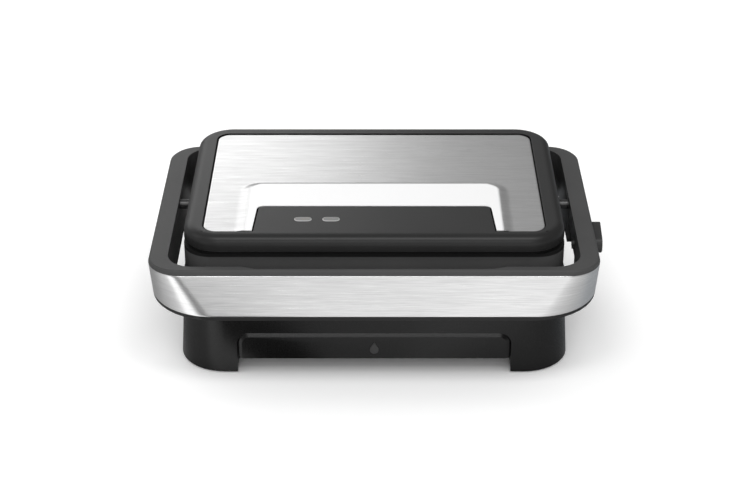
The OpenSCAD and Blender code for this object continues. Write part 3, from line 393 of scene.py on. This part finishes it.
def brushed_steel(name, grey, roughness, anisotropy, turned=0.0, satin=None):
    """Brushed sheet steel, with the blur's long axis along the brushing, or across it where turned is 0.25.

    satin=(grey, roughness, frost) is a second, blasted finish where the attribute satin is 1: the blasting
    scatters the share frost of the light, so the metal reads as white from every side.
    """
    material, tree, output = new_material(name)
    mixed = brushing_noise(tree)
    tone = remapped(tree, mixed, grey * 0.80, grey * 1.12, 0.35, 0.65)
    rough = remapped(tree, mixed, roughness + GLOSS_DRIFT, roughness - GLOSS_DRIFT, 0.3, 0.7)
    metallic = 1.0
    if satin is not None:
        satin_grey, satin_roughness, frost = satin
        mask = add_node(tree, "Attribute", attribute_name="satin").outputs["Fac"]
        tone = mix_node(tree, "FLOAT", mask, tone, satin_grey)
        rough = mix_node(tree, "FLOAT", mask, rough, satin_roughness)
        metallic = math_node(tree, "SUBTRACT", 1.0, math_node(tree, "MULTIPLY", mask, frost))
    tangent = add_node(tree, "Tangent", direction_type="UV_MAP", uv_map="brushing")
    shader = add_node(tree, "BsdfPrincipled", Base_Color=tone, Roughness=rough, Metallic=metallic,
                      Anisotropic=anisotropy, Anisotropic_Rotation=turned, Tangent=tangent.outputs[0])
    surface_bump(tree, shader, mixed, 0.25, SCRATCH_DEPTH)
    tree.links.new(shader.outputs[0], output.inputs["Surface"])
    return material


finishes["brushed_panel"] = brushed_steel("brushed_panel", 0.62, 0.30, 0.5, satin=(0.94, 0.45, 0.85))
finishes["brushed_band"] = brushed_steel("brushed_band", 0.78, 0.30, 0.7, turned=0.25)
print("brushed steel in", len(BRUSH_LAYERS), "layers")

# %% Plain metals
MOTTLE_TONE = 0.15
MOTTLE_GLOSS = 0.06
MOTTLE_DEPTH = 0.03 * MM


def plain_metal(name, grey, roughness, metallic=1.0, scale=700.0, edge=0.2 * MM):
    """Plated, drawn or cast metal: an even grey with a fine mottle in colour, roughness and bump."""
    material, tree, output = new_material(name)
    mottle = object_noise(tree, scale, 4.0, 0.6)
    tone = remapped(tree, mottle, grey * (1 - MOTTLE_TONE), grey * (1 + MOTTLE_TONE))
    rough = remapped(tree, mottle, roughness - MOTTLE_GLOSS, roughness + MOTTLE_GLOSS)
    shader = add_node(tree, "BsdfPrincipled", Base_Color=tone, Metallic=metallic, Roughness=rough)
    surface_bump(tree, shader, mottle, 0.2, MOTTLE_DEPTH, edge)
    tree.links.new(shader.outputs[0], output.inputs["Surface"])
    return material


finishes["screw_steel"] = plain_metal("screw_steel", 0.55, 0.32)
finishes["element_sheath"] = plain_metal("element_sheath", 0.26, 0.45, scale=300.0)
finishes["bright_sheet"] = plain_metal("bright_sheet", 0.72, 0.28, scale=200.0)
finishes["nonstick"] = plain_metal("nonstick", 0.02, 0.42, metallic=0.0, scale=2200.0, edge=0.6 * MM)
print("finishes so far", len(finishes))

# %% Lenses and the drop


def lens_finish():
    """Frosted grey plastic: a little light passes into it, and its face has a soft gloss."""
    material, tree, output = new_material("lens_plastic")
    shader = add_node(tree, "BsdfPrincipled", Roughness=0.28, Base_Color=(0.17, 0.165, 0.16, 1),
                      Subsurface_Weight=0.3, Subsurface_Scale=1.0 * MM)
    surface_bump(tree, shader, object_noise(tree, 3000.0, 2.0), 0.15, GRAIN_DEPTH)
    tree.links.new(shader.outputs[0], output.inputs["Surface"])
    return material


finishes["lens_plastic"] = lens_finish()
finishes["lens_rim"] = plastic("lens_rim", 0.55, 0.3, grain=0.1)
finishes["drop_mark"] = plastic("drop_mark", 0.035, 0.35, grain=0.2, specular=0.4)
print("finishes", len(finishes))

# %% [markdown]
# ## Finishes on the fixed pieces
# The record names a material slot for every node, so one loop hands each node the finish of its slot. A few
# pieces have a finish of their own. The lid's lower shell is painted near black close to the cover: a painted
# shadow where the cover shades it. The pieces that get a finer surface later are hidden by it.

# %% Dress every node
# The lower shell is painted near black from SHADOW_DROP mm below the cover up, a painted shadow of the cover.
SHADOW_DROP = 6.7
slot_of = {row["node"]: row["material_slot"] for row in frame["record"]["subparts"]}
shadow_z = (box_mm("lid_cover")[0][2] - SHADOW_DROP) * MM
own_finish = {
    "lock_stud": plain_metal("blackened_stud", 0.08, 0.45),
    "lock_screw": plain_metal("blackened_screw", 0.08, 0.45),
    "lock_knob": plastic("knob_plastic", 0.038, 0.40, grain=0.3, specular=0.3),
    "lid_lower_shell": plastic("body_plastic", 0.085, 0.45, grain=0.3, specular=0.3, black_above=shadow_z),
    "lid_pivot_pins": plain_metal("blackened_steel", 0.10, 0.4),
    "lock_hook": plain_metal("dull_zinc", 0.10, 0.45),
    "handle_frame": finishes["ring_plastic"],
    "handle_under_cover": plastic("under_cover_plastic", 0.016, 0.5, grain=0.3, specular=0.25),
}
for name, slot in slot_of.items():
    mesh = nodes[name].data
    mesh.materials.clear()
    mesh.materials.append(own_finish.get(name, finishes[slot]))
print("dressed", len(slot_of), "nodes")

# %% [markdown]
# ## Surfaces from numbers
# Most forms here are lofts: a closed outline is drawn at several heights, each a little wider or narrower,
# and the rows of points are joined. Every row has the same number of points in the same order, so the faces
# are a plain grid that closes on itself.

# %% Grid and loft helpers
WELD_GAP = 0.01 * MM


def make_piece(name, points, faces, finish, smooth=40.0):
    """A mesh object at the origin from an array of points in metres and a list of faces, shaded by angle."""
    mesh = bpy.data.meshes.new(name)
    mesh.from_pydata(points.tolist(), [], [list(map(int, face)) for face in faces])
    mesh.validate()
    mesh.materials.append(finishes[finish])
    piece = bpy.data.objects.new(name, mesh)
    bpy.context.scene.collection.objects.link(piece)
    mesh.shade_smooth()
    mesh.set_sharp_from_angle(angle=math.radians(smooth))
    return piece


def grid_faces(rows, cols, wrap):
    """Quads between rows x cols points, numbered row by row. wrap joins the last column to the first."""
    index = np.arange(rows * cols).reshape(rows, cols)
    right = np.roll(index, -1, axis=1)
    quads = np.stack([index[:-1], right[:-1], right[1:], index[1:]], axis=-1)
    if not wrap:
        quads = quads[:, :-1]
    return quads.reshape(-1, 4)


QUARTER_TURN = np.radians(np.linspace(0, 90, 17))


def rounded_outline(width, y0, y1, radius):
    """Points of a rectangle from y0 to y1 with rounded corners, in millimetres.

    Each corner is centre + radius (cos a, sin a) over a quarter turn, counted anticlockwise from the right
    back corner. All outlines have as many points, so outlines of different sizes match point by point.
    """
    right = width / 2 - radius
    centres = [(right, y1 - radius), (-right, y1 - radius), (-right, y0 + radius), (right, y0 + radius)]
    arcs = []
    for quarter, centre in enumerate(centres):
        angle = quarter * math.pi / 2 + QUARTER_TURN
        arcs.append(centre + radius * np.c_[np.cos(angle), np.sin(angle)])
    return np.vstack(arcs)


def loft(loops):
    """Points and faces of the surface through closed loops with as many points each."""
    grid = np.stack(loops)
    return grid.reshape(-1, 3), grid_faces(len(loops), grid.shape[1], True)


def grown(loop, by):
    """A closed outline moved outwards by a distance, each point along the mitre of its two edges' normals."""
    edge = np.roll(loop, -1, axis=0) - loop
    edge = edge / np.linalg.norm(edge, axis=1, keepdims=True)
    normal = np.c_[edge[:, 1], -edge[:, 0]]
    before = np.roll(normal, 1, axis=0)
    mitre = (normal + before) / (1 + (normal * before).sum(axis=1, keepdims=True))
    return loop + by * mitre


def at_height(loop, z):
    """The loop's points as rows of x, y, z, in millimetres. z is a number, or one value a point."""
    return np.c_[loop, np.broadcast_to(z, len(loop))]


def flat_fill(outer, holes, z):
    """Points in millimetres and upward triangles that fill a flat outline less its holes, at height z."""
    loops = [at_height(loop, z) for loop in (outer, *holes)]
    points = np.vstack(loops)
    faces = np.array(tessellate_polygon([[Vector(p) for p in loop] for loop in loops]))
    a, b, c = points[faces.T]
    upward = np.cross(b - a, c - a)[:, 2] > 0
    return points, np.where(upward[:, None], faces, faces[:, [0, 2, 1]])


def joined(parts):
    """Several (points, faces) pairs as one, with the faces renumbered."""
    faces, start = [], 0
    for points, part_faces in parts:
        faces += (part_faces + start).tolist()
        start += len(points)
    return np.vstack([points for points, _ in parts]), faces


def weld(piece):
    """Merges points that lie on each other, so that strips made one by one share their edges."""
    sheet = bmesh.new()
    sheet.from_mesh(piece.data)
    bmesh.ops.remove_doubles(sheet, verts=sheet.verts, dist=WELD_GAP)
    sheet.to_mesh(piece.data)
    sheet.free()


def brushing_map(piece, u, v):
    """A UV map in metres, u along the brushing and v across it, from one pair of values a point."""
    mesh = piece.data
    corner = np.zeros(len(mesh.loops), int)
    mesh.loops.foreach_get("vertex_index", corner)
    layer = mesh.uv_layers.new(name="brushing")
    layer.data.foreach_set("uv", np.c_[u[corner], v[corner]].astype(np.float32).ravel())


print("an outline has", len(rounded_outline(100, -20, 20, 5)), "points")

# %% [markdown]
# ## The lid's steel panel
# The real panel is one thin sheet. Round the lamps it is pressed up into a low step, about flush with the
# fascia, with a steep flank at the back and slow ones at the sides, and a field is cut out of its front for
# the black fascia. The mirrored light tells up from down: the right flank mirrors the darker right side, so
# it faces that way. A height field suits it: each row of the grid runs from the sheet's left edge to its
# right edge at one depth, and the rows beside the field stop at the field's edge. The step is a smooth
# function of the distance to its outline.

# %% Panel outline
(_, COVER_Y0, COVER_Z0), (COVER_HALF, COVER_Y1, COVER_Z1) = box_mm("lid_cover")
(_, PANEL_Y0, _), (PANEL_HALF, PANEL_Y1, PANEL_Z) = box_mm("lid_steel_panel")
PANEL_R = 9.5
# The field is the sheet's cut-out: half its width at the cover's front, by how much that narrows, and so on
FIELD_HALF = 92.5
FIELD_TAPER = 2.5
FIELD_DEPTH = 39.8
FIELD_R = 5.0
FIELD_Y1 = PANEL_Y0 + FIELD_DEPTH
FIELD_ARC_Y = FIELD_Y1 - FIELD_R


def panel_edge(y):
    """Half the sheet's width at depth y: full, less r - sqrt(r^2 - d^2) within r of its front and back."""
    d = np.maximum(0, np.maximum(PANEL_Y0 + PANEL_R - y, y - (PANEL_Y1 - PANEL_R)))
    return PANEL_HALF - PANEL_R + np.sqrt(np.maximum(0, PANEL_R**2 - d**2))


def field_edge(y):
    """Half the field's width at depth y: a slanting side, then a quarter circle to the field's back edge."""
    slant = FIELD_HALF - FIELD_TAPER * (y - COVER_Y0) / (FIELD_ARC_Y - COVER_Y0)
    d = np.clip(y - FIELD_ARC_Y, 0, FIELD_R)
    return slant - FIELD_R + np.sqrt(FIELD_R**2 - d**2)


print("panel", round(2 * PANEL_HALF, 1), "x", round(PANEL_Y1 - PANEL_Y0, 1), "mm")

# %% Panel surface
# The step's rise and outline, and how wide its flanks are
PRESS_RISE = 1.0
PRESS_HALF = 105.5
PRESS_DEPTH = 81.0
PRESS_R = 16.0
SIDE_SLOPE = 9.5
BACK_SLOPE = 4.2
# The satin finish sets in where the flank has this share of its rise
SATIN_FROM = 11 / 12
SHEET = 0.7
SHEET_EDGE = 0.22
# Rows and columns of the grid: the outer corners, the legs beside the field, its arcs, and behind it
CORNER_ROWS = 12
LEG_ROWS = 24
FIELD_ARC_ROWS = 10
REAR_ROWS = 150
LEG_COLUMNS = 40
FIELD_COLUMNS = 119


def press_rise(x, y):
    """Height of the pressed step at x, y: a smooth step of the distance inside a rounded corner shape.

    The flank is as wide as the side slope where the outline faces sideways, and as the back slope where it
    faces back.
    """
    dx = np.abs(x) - (PRESS_HALF - PRESS_R)
    dy = y - (PANEL_Y0 + PRESS_DEPTH - PRESS_R)
    within = (dx < 0) & (dy < 0)
    inside = PRESS_R - np.hypot(np.maximum(dx, 0), np.maximum(dy, 0))
    inside += np.where(within, -np.maximum(dx, dy), 0)
    sideways = np.arctan2(np.maximum(dx, 1e-6), np.maximum(dy, 1e-6)) / (math.pi / 2)
    sideways = np.where(within, (dx > dy).astype(float), sideways)
    slope = BACK_SLOPE + (SIDE_SLOPE - BACK_SLOPE) * np.sqrt(sideways)
    t = np.clip(inside / slope, 0, 1)
    return PRESS_RISE * t * t * (3 - 2 * t)


def eased(start, end, count):
    """Values from start to end that crowd near both ends, for rows that meet round corners."""
    return start + (end - start) * (1 - np.cos(np.linspace(0, math.pi, count))) / 2


def steel_panel():
    """Points and faces of the sheet's top, as one grid with the field's columns left out in front."""
    front = np.unique(np.r_[eased(PANEL_Y0, PANEL_Y0 + PANEL_R, CORNER_ROWS),
                            np.linspace(PANEL_Y0 + PANEL_R, FIELD_ARC_Y, LEG_ROWS),
                            eased(FIELD_ARC_Y, FIELD_Y1, FIELD_ARC_ROWS)])
    rear = np.unique(np.r_[np.linspace(FIELD_Y1, PANEL_Y1 - PANEL_R, REAR_ROWS),
                           eased(PANEL_Y1 - PANEL_R, PANEL_Y1, CORNER_ROWS)])[1:]
    y = np.r_[front, rear]
    edge = panel_edge(y)
    inner = field_edge(np.minimum(y, FIELD_Y1))
    leg = np.linspace(0, 1, LEG_COLUMNS)
    middle = np.linspace(-1, 1, FIELD_COLUMNS + 2)[1:-1]
    left = -edge[:, None] + (edge - inner)[:, None] * leg
    x = np.hstack([left, inner[:, None] * middle, -left[:, ::-1]])
    rows, cols = x.shape
    grid_y = np.broadcast_to(y[:, None], x.shape)
    z = PANEL_Z + press_rise(x, grid_y)
    points = np.stack([x, grid_y, z], axis=-1).reshape(-1, 3)
    faces = grid_faces(rows, cols, False).reshape(rows - 1, cols - 1, 4)
    keep = np.ones((rows - 1, cols - 1), bool)
    keep[: len(front) - 1, LEG_COLUMNS - 1 : cols - LEG_COLUMNS] = False
    faces = faces[keep]
    used = np.unique(faces)
    renumber = np.zeros(len(points), int)
    renumber[used] = np.arange(len(used))
    return points[used], renumber[faces]


panel_points, panel_faces = steel_panel()
panel = make_piece("lid_panel_sheet", panel_points * MM, panel_faces, "brushed_panel", 60)
brushing_map(panel, panel_points[:, 0] * MM, panel_points[:, 1] * MM)
satin = panel.data.attributes.new("satin", "FLOAT", "POINT")
step_share = press_rise(panel_points[:, 0], panel_points[:, 1]) / PRESS_RISE
satin_share = np.clip((step_share - SATIN_FROM) / (1 - SATIN_FROM), 0, 1).astype(np.float32)
satin.data.foreach_set("value", satin_share)
thickness = panel.modifiers.new("thickness", "SOLIDIFY")
thickness.thickness = SHEET * MM
thickness.offset = -1
edge_round = panel.modifiers.new("edge_round", "BEVEL")
edge_round.width = SHEET_EDGE * MM
edge_round.segments = 2
edge_round.limit_method = "ANGLE"
edge_round.angle_limit = math.radians(50)
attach(panel, "lid")
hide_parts("lid_steel_panel")
print("panel points", len(panel_points))

# %% [markdown]
# ## The lid's cover
# The cover is a shallow moulded cap. Its wall rises straight, then rolls over in a wide soft corner to a
# flat top, and a shallow pocket in the top takes the panel. The roll is a quarter of a superellipse, which
# has no visible line where it meets the flat. The flat top is filled between the roll, the pocket's edge
# and the two lens slots. Level faces stay flat-shaded, and the pocket's faces get the black plastic, a
# painted shade that darkens the gap round the panel.

# %% Cover
COVER_R = 28.0
COVER_WALL = 2.6
COVER_LIP = 1.2
FOOT_EDGE = 0.5
ROLL_IN = 8.0
ROLL_DOWN = 7.6
ROLL_POWER = 0.85
POCKET_GAP = 1.1
POCKET_FLOOR = PANEL_Z - 3.0
# The pocket's round edge: how far outside its wall, and how far below the cover's top
POCKET_EDGE = ((0.25, 0.0), (0.05, 0.1), (0.0, 0.3))
# Faces within POCKET_REACH of the sheet and below the top by TOP_GAP are the pocket's
POCKET_REACH = 1.5
TOP_GAP = 0.05
# A face is level where its normal's upright part is at least this
LEVEL = 0.9999


def cover_loop(inset):
    """The cover's outline, drawn in by inset."""
    width = 2 * (COVER_HALF - inset)
    return rounded_outline(width, COVER_Y0 + inset, COVER_Y1 - inset, COVER_R - inset)


def panel_loop():
    """The sheet's outline with the field's notch in its front edge, anticlockwise."""
    quarter = np.c_[np.cos(QUARTER_TURN), np.sin(QUARTER_TURN)]
    corner_x = PANEL_HALF - PANEL_R
    back_y = PANEL_Y1 - PANEL_R
    front_y = PANEL_Y0 + PANEL_R
    back_right = (corner_x, back_y) + PANEL_R * quarter
    front_left = (-corner_x, front_y) - PANEL_R * quarter
    arc_x = field_edge(FIELD_ARC_Y) - FIELD_R
    notch_arc = (-arc_x, FIELD_ARC_Y) + FIELD_R * quarter * (-1, 1)
    foot = [[-field_edge(PANEL_Y0), PANEL_Y0]]
    half_loop = np.vstack([front_left, foot, notch_arc])
    mirrored = half_loop[::-1] * (-1, 1)
    back_left = back_right[::-1] * (-1, 1)
    return np.vstack([back_right, back_left, half_loop, mirrored])


LENS_HALF = 6.1
LENS_R = 2.75
LENS_GAP = 0.15
SLOT_DEPTH = 4.0
lens_centres = [sum(box_mm(lens))[:2] / 2 for lens in ("power_lens", "ready_lens")]


def lens_loop(centre, grow):
    """A slot with round ends about its centre, grown by grow."""
    turn = np.linspace(-math.pi / 2, math.pi / 2, 13)
    end = np.c_[LENS_HALF - LENS_R + (LENS_R + grow) * np.cos(turn), (LENS_R + grow) * np.sin(turn)]
    return np.vstack([end, -end]) + centre


def lid_cover():
    """Wall, roll, flat top, pocket wall and floor, and slot walls, joined into one surface."""
    lift = np.linspace(0, math.pi / 2, 15)
    roll_in = ROLL_IN * (1 - np.cos(lift) ** ROLL_POWER)
    roll_z = COVER_Z1 - ROLL_DOWN * (1 - np.sin(lift) ** ROLL_POWER)
    rows = [(COVER_WALL, COVER_Z0 + COVER_LIP), (COVER_WALL, COVER_Z0), (FOOT_EDGE, COVER_Z0),
            (0.0, COVER_Z0 + FOOT_EDGE), *zip(roll_in, roll_z)]
    parts = [loft([at_height(cover_loop(inset), z) for inset, z in rows])]
    pocket = panel_loop()
    rim_of_pocket = grown(pocket, POCKET_GAP + POCKET_EDGE[0][0])
    slots = [lens_loop(centre, LENS_GAP) for centre in lens_centres]
    parts.append(flat_fill(cover_loop(ROLL_IN), [rim_of_pocket, *slots], COVER_Z1))
    lip = [at_height(grown(pocket, POCKET_GAP + out), COVER_Z1 - down) for out, down in POCKET_EDGE]
    lip.append(at_height(grown(pocket, POCKET_GAP), POCKET_FLOOR))
    parts.append(loft(lip))
    for slot in slots:
        parts.append(loft([at_height(slot, COVER_Z1), at_height(slot, COVER_Z1 - SLOT_DEPTH)]))
    parts.append(flat_fill(grown(pocket, POCKET_GAP), [], POCKET_FLOOR))
    return joined(parts)


cover_points, cover_faces = lid_cover()
cover = make_piece("lid_cover_shell", cover_points * MM, cover_faces, "lid_plastic", 35)
weld(cover)
faces = cover.data.polygons
normals = np.zeros(3 * len(faces), np.float32)
faces.foreach_get("normal", normals)
faces.foreach_set("use_smooth", np.abs(normals[2::3]) < LEVEL)
centres = np.zeros(3 * len(faces), np.float32)
faces.foreach_get("center", centres)
x, y, z = centres.reshape(-1, 3).T / MM
in_pocket = (np.abs(x) < PANEL_HALF + POCKET_REACH) & (z < COVER_Z1 - TOP_GAP)
in_pocket &= (y > PANEL_Y0 - POCKET_REACH) & (y < PANEL_Y1 + POCKET_REACH)
# Painted shade: the pocket's faces get the darker black plastic, so the gap round the panel reads dark.
cover.data.materials.append(finishes["black_plastic"])
faces.foreach_set("material_index", in_pocket.astype(np.int32))
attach(cover, "lid")
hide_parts("lid_cover")
print("cover points", len(cover.data.vertices))

# %% Lens rims
# How far the rim's section lies outside the lens, and how high above the cover, counted anticlockwise
RIM_SECTION = ((-0.25, 0.29), (-0.25, -0.1), (0.5, -0.1), (0.35, 0.2), (-0.15, 0.3), (-0.25, 0.29))
for name, centre in zip(("power_lens_rim", "ready_lens_rim"), lens_centres):
    loops = [at_height(lens_loop(centre, out), COVER_Z1 + up) for out, up in RIM_SECTION]
    rim_points, rim_faces = loft(loops)
    rim = make_piece(name, rim_points * MM, rim_faces, "lens_rim", 50)
    weld(rim)
    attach(rim, "lid")
print("lens rims", len(lens_centres))

# %% [markdown]
# ## The steel band
# A strip of the same brushed sheet is wrapped round the grip. It leans back with the plastic behind it, and
# the round front corners open from a small radius at the top to a wide one at the foot, so a mirrored card
# becomes a slanting stripe there. Each row of the grid is the ring's outline at one height, with u along
# the band and v up it.

# %% Band
(_, BAR_FOOT_Y, RING_Z0), (RING_HALF, _, _) = box_mm("handle_under_cover")
(_, _, BAND_Z0), (_, BAND_END_Y, BAND_Z1) = box_mm("handle_steel_band")
RING_H = box_mm("handle_frame")[1][2] - RING_Z0
# The bar's front leans back by BAR_LEAN from foot to top, and the corner's radius shrinks by its taper
BAR_LEAN = 7.5
RING_R = 51.0
RING_R_TAPER = 28.0
BAND_ROWS = 24
ARC_POINTS = 97
CORNER_COLUMNS = 73
FRONT_COLUMNS = 89


def evenly(points, count):
    """A polyline's points at equal steps of its length."""
    length = np.r_[0, np.cumsum(np.linalg.norm(np.diff(points, axis=0), axis=1))]
    steps = np.linspace(0, length[-1], count)
    return np.c_[np.interp(steps, length, points[:, 0]), np.interp(steps, length, points[:, 1])]


def band_row(z, inset):
    """The ring's outline at height z, drawn in by inset, from the band's right end to its left one."""
    rise = (z - RING_Z0) / RING_H
    radius = RING_R - RING_R_TAPER * rise - inset
    half = RING_HALF - inset
    front_y = BAR_FOOT_Y + BAR_LEAN * rise + inset
    centre_y = front_y + radius
    turn = np.linspace(math.asin(max(0, centre_y - BAND_END_Y) / radius), math.pi / 2, ARC_POINTS)
    arc = np.c_[half - radius + radius * np.cos(turn), centre_y - radius * np.sin(turn)]
    side = [[half, BAND_END_Y]] if centre_y < BAND_END_Y else np.empty((0, 2))
    corner = evenly(np.vstack([side, arc]), CORNER_COLUMNS)
    across = np.linspace(half - radius, radius - half, FRONT_COLUMNS + 2)[1:-1]
    front = np.c_[across, np.full(FRONT_COLUMNS, front_y)]
    return np.vstack([corner, front, corner[::-1] * (-1, 1)])


def steel_band():
    """The strip's points, in rows from its foot to its top and columns from the right arm to the left one.

    The rows at both long edges draw in, so that the sheet's edges are round and its thickness shows.
    """
    share = np.r_[0, 0, 0.01, np.linspace(0.03, 0.97, BAND_ROWS), 0.99, 1, 1]
    inset = np.r_[0.8, 0.25, 0.06, np.zeros(BAND_ROWS), 0.06, 0.25, 0.8]
    heights = BAND_Z0 + (BAND_Z1 - BAND_Z0) * share
    return np.stack([at_height(band_row(z, i), z) for z, i in zip(heights, inset)])


band_grid = steel_band()
band_rows, band_cols = band_grid.shape[:2]
band = make_piece("grip_band", band_grid.reshape(-1, 3) * MM, grid_faces(band_rows, band_cols, False),
                  "brushed_band", 50)
middle_row = band_grid[band_rows // 2]
along = np.r_[0, np.cumsum(np.linalg.norm(np.diff(middle_row, axis=0), axis=1))]
brushing_map(band, np.tile(along, band_rows) * MM, band_grid[..., 2].ravel() * MM)
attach(band, "handle")
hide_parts("handle_steel_band")
print("band", band_grid.shape, "length", round(along[-1], 1), "mm")

# %% [markdown]
# ## Moulded shells
# The handle, the base, the tray and the lid's lower shell are complex mouldings whose solids are already
# right. What they lack is the small radius that every moulded edge has. A copy of the solid is welded, its
# flat faces are cleaned up, and a bevel rounds each edge by a few tenths of a millimetre.

# %% Round the edges of a copy
SEAM = 0.002 * MM
NEARLY_FLAT = math.radians(0.6)


def moulded_copy(name, node, body, radius, angle):
    """A welded copy of a node whose edges sharper than angle, in degrees, are rounded by radius, in mm."""
    mesh = nodes[node].data.copy()
    mesh.name = name
    shell = bmesh.new()
    shell.from_mesh(mesh)
    bmesh.ops.remove_doubles(shell, verts=shell.verts, dist=SEAM)
    bmesh.ops.dissolve_limit(shell, angle_limit=NEARLY_FLAT, verts=shell.verts, edges=shell.edges)
    shell.to_mesh(mesh)
    shell.free()
    piece = bpy.data.objects.new(name, mesh)
    bpy.context.scene.collection.objects.link(piece)
    mesh.shade_smooth()
    mesh.set_sharp_from_angle(angle=math.radians(angle))
    rounding = piece.modifiers.new("rounding", "BEVEL")
    rounding.width = radius * MM
    rounding.segments = 3
    rounding.limit_method = "ANGLE"
    rounding.angle_limit = math.radians(angle)
    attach(piece, body)
    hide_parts(node)
    return piece


MOULDINGS = (
    # new piece, its node, its body, edge radius in mm, sharpest angle left alone in degrees
    ("ring_moulding", "handle_frame", "handle", 0.7, 35),
    ("base_moulding", "base_housing", "base", 0.7, 35),
    ("tray_moulding", "drip_tray", "tray", 0.15, 20),
    ("lid_lower_moulding", "lid_lower_shell", "lid", 0.6, 35),
    ("ring_under_moulding", "handle_under_cover", "handle", 0.4, 35),
    ("knob_moulding", "lock_knob", "lock", 0.8, 35),
)
for row in MOULDINGS:
    piece = moulded_copy(*row)
    print(piece.name, len(piece.data.polygons), "faces")

# %% [markdown]
# ## The drop on the tray
# A small drop stands proud of the tray's front and shows where the fat runs. A smoother face than the one
# round it catches the light. It is drawn flat, with y as its height, and then stood up and leant back with
# the tray's front, which lies in the plane of the base's front.

# %% Drop
# The base's front leans back by BASE_LEAN over its height. FRONT_Y is where that plane meets the table
BASE_LEAN = 5.0
BASE_H = 74.5
(_, HOUSING_Y0, HOUSING_Z0), _ = box_mm("base_housing")
FRONT_LEAN = math.atan(BASE_LEAN / BASE_H)
FRONT_Y = HOUSING_Y0 - HOUSING_Z0 * math.tan(FRONT_LEAN)
DROP_Z = 20.07
DROP_R = 3.4
DROP_TIP = 6.6
# The tip's sides meet at an angle, so it moves this many times as far as they do when the outline draws in
TIP_SHIFT = 1.6
# The drop's section: how far drawn in, and how far out of the tray's front
DROP_SECTION = ((0.0, 0.05), (0.0, 0.42), (0.12, 0.5), (0.4, 0.55))


def drop_loop(inset):
    """The drop's outline round its centre: most of a circle and a point above it, drawn in by inset."""
    turn = np.radians(np.linspace(-210, 30, 41))
    side = np.linspace(0.1, 0.9, 9)[:, None]
    arc = (DROP_R - inset) * np.c_[np.cos(turn), np.sin(turn)]
    tip = np.array([[0, DROP_TIP - TIP_SHIFT * inset]])
    loop = np.vstack([arc, arc[-1] * (1 - side) + tip * side, tip, tip * (1 - side) + arc[0] * side])
    return loop + (0, DROP_Z)


def stood_up(points):
    """Points with x across, y up and z towards the viewer, on the tray's leaning front."""
    across, up, out = points.T
    return np.c_[across, FRONT_Y - out * math.cos(FRONT_LEAN) + up * math.sin(FRONT_LEAN),
                 out * math.sin(FRONT_LEAN) + up * math.cos(FRONT_LEAN)]


face_inset, face_z = DROP_SECTION[-1]
drop_side = loft([at_height(drop_loop(inset), z) for inset, z in DROP_SECTION])
drop_face = flat_fill(drop_loop(face_inset), [], face_z)
drop_points, drop_faces = joined([drop_side, drop_face])
drop = make_piece("tray_drop", stood_up(drop_points) * MM, drop_faces, "drop_mark", 50)
weld(drop)
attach(drop, "tray")
print("drop", len(drop.data.vertices), "points")
